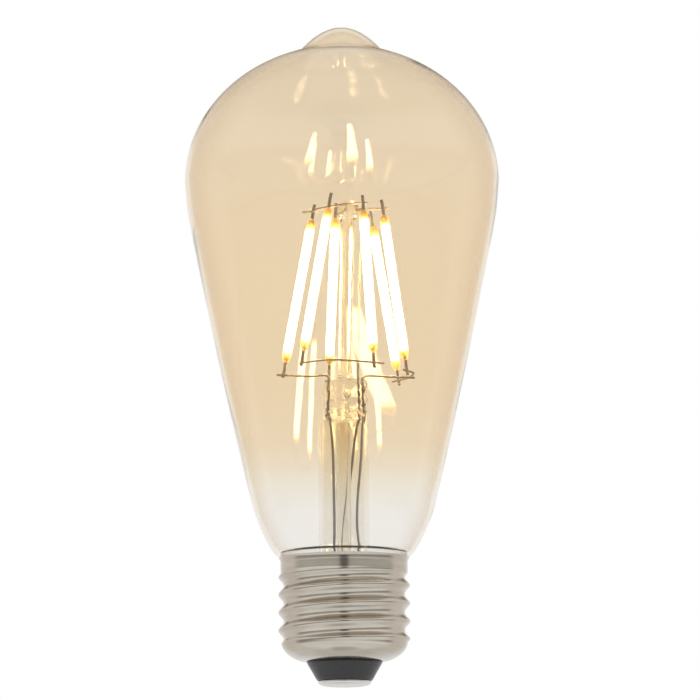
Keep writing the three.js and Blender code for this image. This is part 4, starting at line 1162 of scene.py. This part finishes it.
@dataclass
class Driver:
    """The board with its parts, and the wires that join it to the cap; every place comes from the CAD nodes."""

    shop: Workshop

    def board(self) -> Surface:
        """Returns the board, with soft corners."""
        low, high = node_box("driver_board")
        return block(low, high - low, 0.08)

    def packaged(self, name: str, legs: int) -> Surface:
        """Returns a moulded part with a chamfered body and bent legs on both sides."""
        low, high = node_box(name)
        size = high - low
        body = block(low + [0.35, 0.1, 0], size - [0.7, 0.1, 0], 0.25)
        heights = np.linspace(low[2] + 0.5, high[2] - 0.5, legs)
        parts = [body]
        for side, x in ((-1, low[0] + 0.35), (1, high[0] - 0.35)):
            for z in heights:
                leg = [(x - 0.15 * side, low[1] + 0.7, z), (x + 0.12 * side, low[1] + 0.65, z),
                       (x + 0.2 * side, low[1] + 0.3, z), (x + 0.32 * side, low[1] + 0.08, z)]
                parts.append(sweep(smooth_line(leg, 3), rounded(0.3, 0.12, 4, 10), side=(0, 0, 1), end_length=0.03))
        return Surface.joined(parts)

    def upright(self, name: str) -> tuple[float, float, Points]:
        """Returns an upright round part's radius and height, and the matrix that puts its foot in place."""
        low, high = node_box(name)
        middle = (low + high) / 2
        return (high[0] - low[0]) / 2, high[2] - low[2], place_at(middle[0], middle[1], low[2])

    def can(self, name: str) -> Surface:
        """Returns an electrolytic can: a rolled groove above its foot and a soft upper edge."""
        radius, tall, foot = self.upright(name)
        profile = smooth_line([(0.9 * radius, 0), (radius, 0.25), (radius, 0.9), (0.9 * radius, 1.25), (radius, 1.6),
                               (radius, tall - 0.4), (0.93 * radius, tall - 0.05), (0.8 * radius, tall),
                               (0.74 * radius, tall - 0.15)], 6)
        skin = lathe(np.vstack([[(0, 0)], profile, [(0, tall - 0.15)]]), facets=64, uv=True)
        return skin.moved(foot)

    def drum(self, name: str) -> tuple[Surface, Surface]:
        """Returns a choke: two ferrite flanges on a core, and the winding between them with its turns in relief."""
        radius, tall, foot = self.upright(name)
        flange = 0.16 * tall
        core = lathe([(0, 0), (radius - 0.1, 0), (radius, 0.1), (radius, flange), (0.5 * radius, flange + 0.02),
                      (0.5 * radius, tall - flange - 0.02), (radius, tall - flange), (radius, tall - 0.1),
                      (radius - 0.1, tall), (0, tall)], facets=64)
        rise = np.linspace(flange + 0.06, tall - flange - 0.06, 90)
        turns = 0.86 * radius + 0.08 * np.abs(np.sin(math.pi * (rise - rise[0]) / 0.32))
        winding = lathe(np.vstack([[(0.52 * radius, rise[0])], np.stack([turns, rise], 1),
                                   [(0.52 * radius, rise[-1])]]), loop=True, facets=64)
        return core.moved(foot), winding.moved(foot)

    def resistor(self) -> Surface:
        """Returns a coated resistor: fat ends and a thinner waist."""
        radius, tall, foot = self.upright("fusible_resistor")
        profile = smooth_line([(0, 0), (0.7 * radius, 0.12), (radius, 0.5), (radius, 0.9), (0.84 * radius, 1.4),
                               (0.84 * radius, tall - 1.4), (radius, tall - 0.9), (radius, tall - 0.5),
                               (0.7 * radius, tall - 0.12), (0, tall)], 6)
        profile[:, 0] = np.maximum(profile[:, 0], 0)
        return lathe(profile, facets=48, uv=True).moved(foot)

    def wires(self) -> dict[str, tuple[list, float]]:
        """Returns the points and diameter of the antenna and of the wires to the contact and the shell."""
        board_low, board_high = node_box("driver_board")
        resistor_low, resistor_high = node_box("fusible_resistor")
        x, face, back, top = board_low[0], board_low[1], board_high[1], board_high[2]
        y, bottom = (resistor_low[1] + resistor_high[1]) / 2, board_low[2]
        neck, rim = node_box("glass_envelope")[0][2], node_box("cap_shell")[1][2]
        module = node_box("wireless_module")[1][2]
        return {
            "antenna_wire": ([(1.2, back + 0.6, module + 0.2), (1.2, back + 0.6, top + 0.3),
                              (1.2, face + 0.3, neck + 2.5), (1.6, 3, rim - 1.5)], 0.6),
            "contact_feed_wire": ([(0, y, bottom + 0.7), (0, y + 1, bottom), (0, -1.2, bottom - 0.3), (0, 0, 6.2),
                                   (0, 0, 3.5)], 0.5),
            "shell_feed_wire": ([(x + 1, face - 0.3, top - 1.6), (x + 0.4, face - 1.1, top - 0.9),
                                 (-11.35, 0, top - 0.6)], 0.5),
        }

    def build(self) -> None:
        """Makes the board, its parts and its wires."""
        shop = self.shop
        shop.piece("driver_board_masked", self.board(), Slot.BOARD, ["driver_board"])
        shop.piece("bridge_rectifier_moulded", self.packaged("bridge_rectifier", 2), Slot.CHIP, ["bridge_rectifier"])
        shop.piece("driver_chip_moulded", self.packaged("driver_chip", 4), Slot.CHIP, ["driver_chip"])
        shop.piece("wireless_module_canned", self.packaged("wireless_module", 6), Slot.SHIELD, ["wireless_module"])
        shop.piece("storage_capacitor_sleeved", self.can("storage_capacitor"), Slot.SLEEVE, ["storage_capacitor"])
        core, winding = self.drum("driver_inductor")
        shop.piece("driver_inductor_core", core, Slot.FERRITE, ["driver_inductor"])
        shop.piece("driver_inductor_winding", winding, Slot.COPPER)
        shop.piece("fusible_resistor_coated", self.resistor(), Slot.RESISTOR, ["fusible_resistor"])
        for name, (points, diameter) in self.wires().items():
            skin = sweep(smooth_line(np.array(points, float), 14), circle(diameter))
            shop.piece(f"{name}_bent", skin, Slot.COPPER, [name])


# ---------- studio ----------


@dataclass
class Studio:
    """A pale floor, soft surroundings, and the camera below the lamp, looking slightly up."""

    camera_distance: float = 0.7
    camera_height: float = -0.047
    tilt: float = 9.371
    lens: float = 178.75
    sway: float = 0.35
    pivot: float = 0.075
    aside: float = 0.0015
    front_tones: tuple[tuple[float, Colour], ...] = (
        (-1.0, (0.6, 0.58, 0.54)), (-0.985, (0.6, 0.58, 0.54)), (-0.95, (0.95, 0.95, 0.94)), (-0.5, (1.0, 1.0, 0.98)),
        (-0.3, (0.38, 0.36, 0.34)), (-0.12, (0.38, 0.36, 0.34)), (-0.02, (0.58, 0.56, 0.53)),
        (0.2, (0.58, 0.56, 0.53)), (0.36, (1.0, 1.0, 0.98)), (0.62, (1.0, 1.0, 0.98)), (0.8, (0.45, 0.36, 0.28)),
        (1.0, (0.5, 0.42, 0.34)))
    side_tone: Colour = (0.84, 0.8, 0.76)
    back_tones: tuple[tuple[float, Colour], ...] = (
        (-1.0, (0.7, 0.69, 0.67)), (-0.4, (0.9, 0.9, 0.9)), (0.0, (0.93, 0.92, 0.9)), (0.27, (0.93, 0.92, 0.9)),
        (0.36, (0.22, 0.16, 0.11)), (0.58, (0.26, 0.19, 0.14)), (0.74, (0.72, 0.68, 0.62)), (1.0, (0.6, 0.53, 0.45)))
    open_tone: Colour = (1.0, 0.985, 0.96)
    key_place: tuple[float, float, float] = (-0.7, -0.6, 1.1)
    key_size: float = 0.6
    key_watts: float = 6
    glass_bounces: int = 24
    dark_gap: tuple[float, float, float] = (0.07, 0.2, 0.3)
    floor_reach: float = 4.0
    floor_fade: tuple[float, float] = (0.35, 1.3)
    floor_tones: tuple[Colour, Colour] = ((0.86, 0.855, 0.845), (0.88, 0.875, 0.865))

    def add_camera(self) -> None:
        """Makes the camera; it leans and steps aside a little about a point on the lamp's axis."""
        data = bpy.data.cameras.new("camera")
        data.lens, data.sensor_width = self.lens, 36
        data.clip_start, data.clip_end = 0.01, 100
        camera = bpy.data.objects.new("camera", data)
        bpy.context.scene.collection.objects.link(camera)
        pivot = Matrix.Translation((0, 0, self.pivot))
        lean = pivot @ Matrix.Rotation(math.radians(self.sway), 4, "Y") @ pivot.inverted()
        stand = Matrix.Translation((self.aside, -self.camera_distance, self.camera_height))
        camera.matrix_world = lean @ stand @ Matrix.Rotation(math.radians(90 + self.tilt), 4, "X")
        bpy.context.scene.camera = camera

    def add_world(self) -> None:
        """Makes white surroundings; what is mirrored is toned by its height, with a narrow dark gap in the front."""
        world = bpy.data.worlds.new("soft_studio")
        world.use_nodes = True
        bpy.context.scene.world = world
        graph = Graph(world.node_tree)
        way = graph.node("SeparateXYZ", {"Vector": graph.node("TexCoord").outputs["Generated"]})
        x, y, z = (way.outputs[k] for k in range(3))
        rise = graph.node("MapRange", {"Value": z, "From Min": -1.0}).outputs["Result"]
        front, rear = (graph.ramp(rise, [((sine + 1) / 2, colour) for sine, colour in tones])
                       for tones in (self.front_tones, self.back_tones))
        behind = graph.span(y, 0.0, 0.3)
        aside = graph.calculate("ABSOLUTE", x)
        level = graph.calculate("ABSOLUTE", graph.calculate("SUBTRACT", z, 0.1))
        away = graph.calculate("ADD", graph.span(y, -0.6, 0.0), graph.span(level, 0.35, 0.6))
        narrow, wide, dark = self.dark_gap
        gap = graph.span(graph.calculate("ADD", aside, away), narrow, wide, dark, 1.0)
        back = graph.blend(graph.span(aside, 0.25, 0.62), rear, self.side_tone)
        toned = graph.blend(1.0, graph.blend(behind, front, back), gap, "MULTIPLY")
        tone = graph.blend(graph.mirrored(), self.open_tone, toned)
        background = graph.node("Background", {"Color": tone, "Strength": 1.0})
        plain = graph.node("Background", {"Color": (1.0, 1.0, 1.0), "Strength": 1.0})
        camera = graph.node("LightPath").outputs["Is Camera Ray"]
        seen = graph.node("MixShader", {0: camera, 1: background.outputs[0], 2: plain.outputs[0]})
        graph.node("OutputWorld", {"Surface": seen.outputs[0]})

    def add_floor(self) -> None:
        """Makes the pale floor, which fades out; it is open from below and to mirrored rays."""
        reach = self.floor_reach
        mesh = bpy.data.meshes.new("floor")
        mesh.from_pydata([(-reach, -reach, 0), (reach, -reach, 0), (reach, reach, 0), (-reach, reach, 0)], [],
                         [(0, 1, 2, 3)])
        floor = bpy.data.objects.new("floor", mesh)
        bpy.context.scene.collection.objects.link(floor)
        board = Board("pale_floor")
        dark, light = self.floor_tones
        board.set(Base_Color=board.ramp(board.noise(40, 3), ((0.3, dark), (0.7, light))), Roughness=0.75)
        away = board.node("VectorMath", {0: board.place()}, operation="LENGTH").outputs["Value"]
        unseen = board.calculate("MAXIMUM", board.mirrored(), board.span(away, *self.floor_fade))
        below = board.node("NewGeometry").outputs["Backfacing"]
        clear = board.node("BsdfTransparent")
        mix = board.node("MixShader", {0: board.calculate("MAXIMUM", below, unseen), 1: board.shader.outputs[0],
                                       2: clear.outputs[0]})
        board.join(mix.outputs[0], board.output.inputs["Surface"])
        mesh.materials.append(board.material)

    def add_light(self, name: str, place: Sequence[float], size: float, watts: float) -> None:
        """Makes one soft lamp that faces the object and isn't mirrored in it."""
        data = bpy.data.lights.new(name, "AREA")
        data.shape, data.size, data.energy = "DISK", size, watts
        lamp = bpy.data.objects.new(name, data)
        bpy.context.scene.collection.objects.link(lamp)
        lamp.visible_glossy = lamp.visible_transmission = False
        aim = Vector((0, 0, self.pivot)) - Vector(place)
        lamp.matrix_world = Matrix.Translation(place) @ aim.to_track_quat("-Z", "Y").to_matrix().to_4x4()

    def build(self) -> None:
        """Makes the camera, the surroundings, the floor and the lights."""
        self.add_camera()
        self.add_world()
        self.add_floor()
        self.add_light("key_light", self.key_place, self.key_size, self.key_watts)
        scene = bpy.context.scene
        scene.view_settings.view_transform = "Standard"
        scene.view_settings.look = "None"
        scene.cycles.max_bounces = scene.cycles.transmission_bounces = self.glass_bounces
        scene.cycles.glossy_bounces = 12
        scene.cycles.transparent_max_bounces = 16


def main() -> None:
    """Builds the lamp's sub-assemblies in order, then the studio."""
    logging.basicConfig(level=logging.INFO, format="%(name)s: %(message)s")
    shop = Workshop()
    stem = Stem(shop)
    for part in (GlassEnvelope(shop), ScrewCap(shop), stem, Cage(shop, stem), Driver(shop), Studio()):
        part.build()


if __name__ == "__main__":
    main()
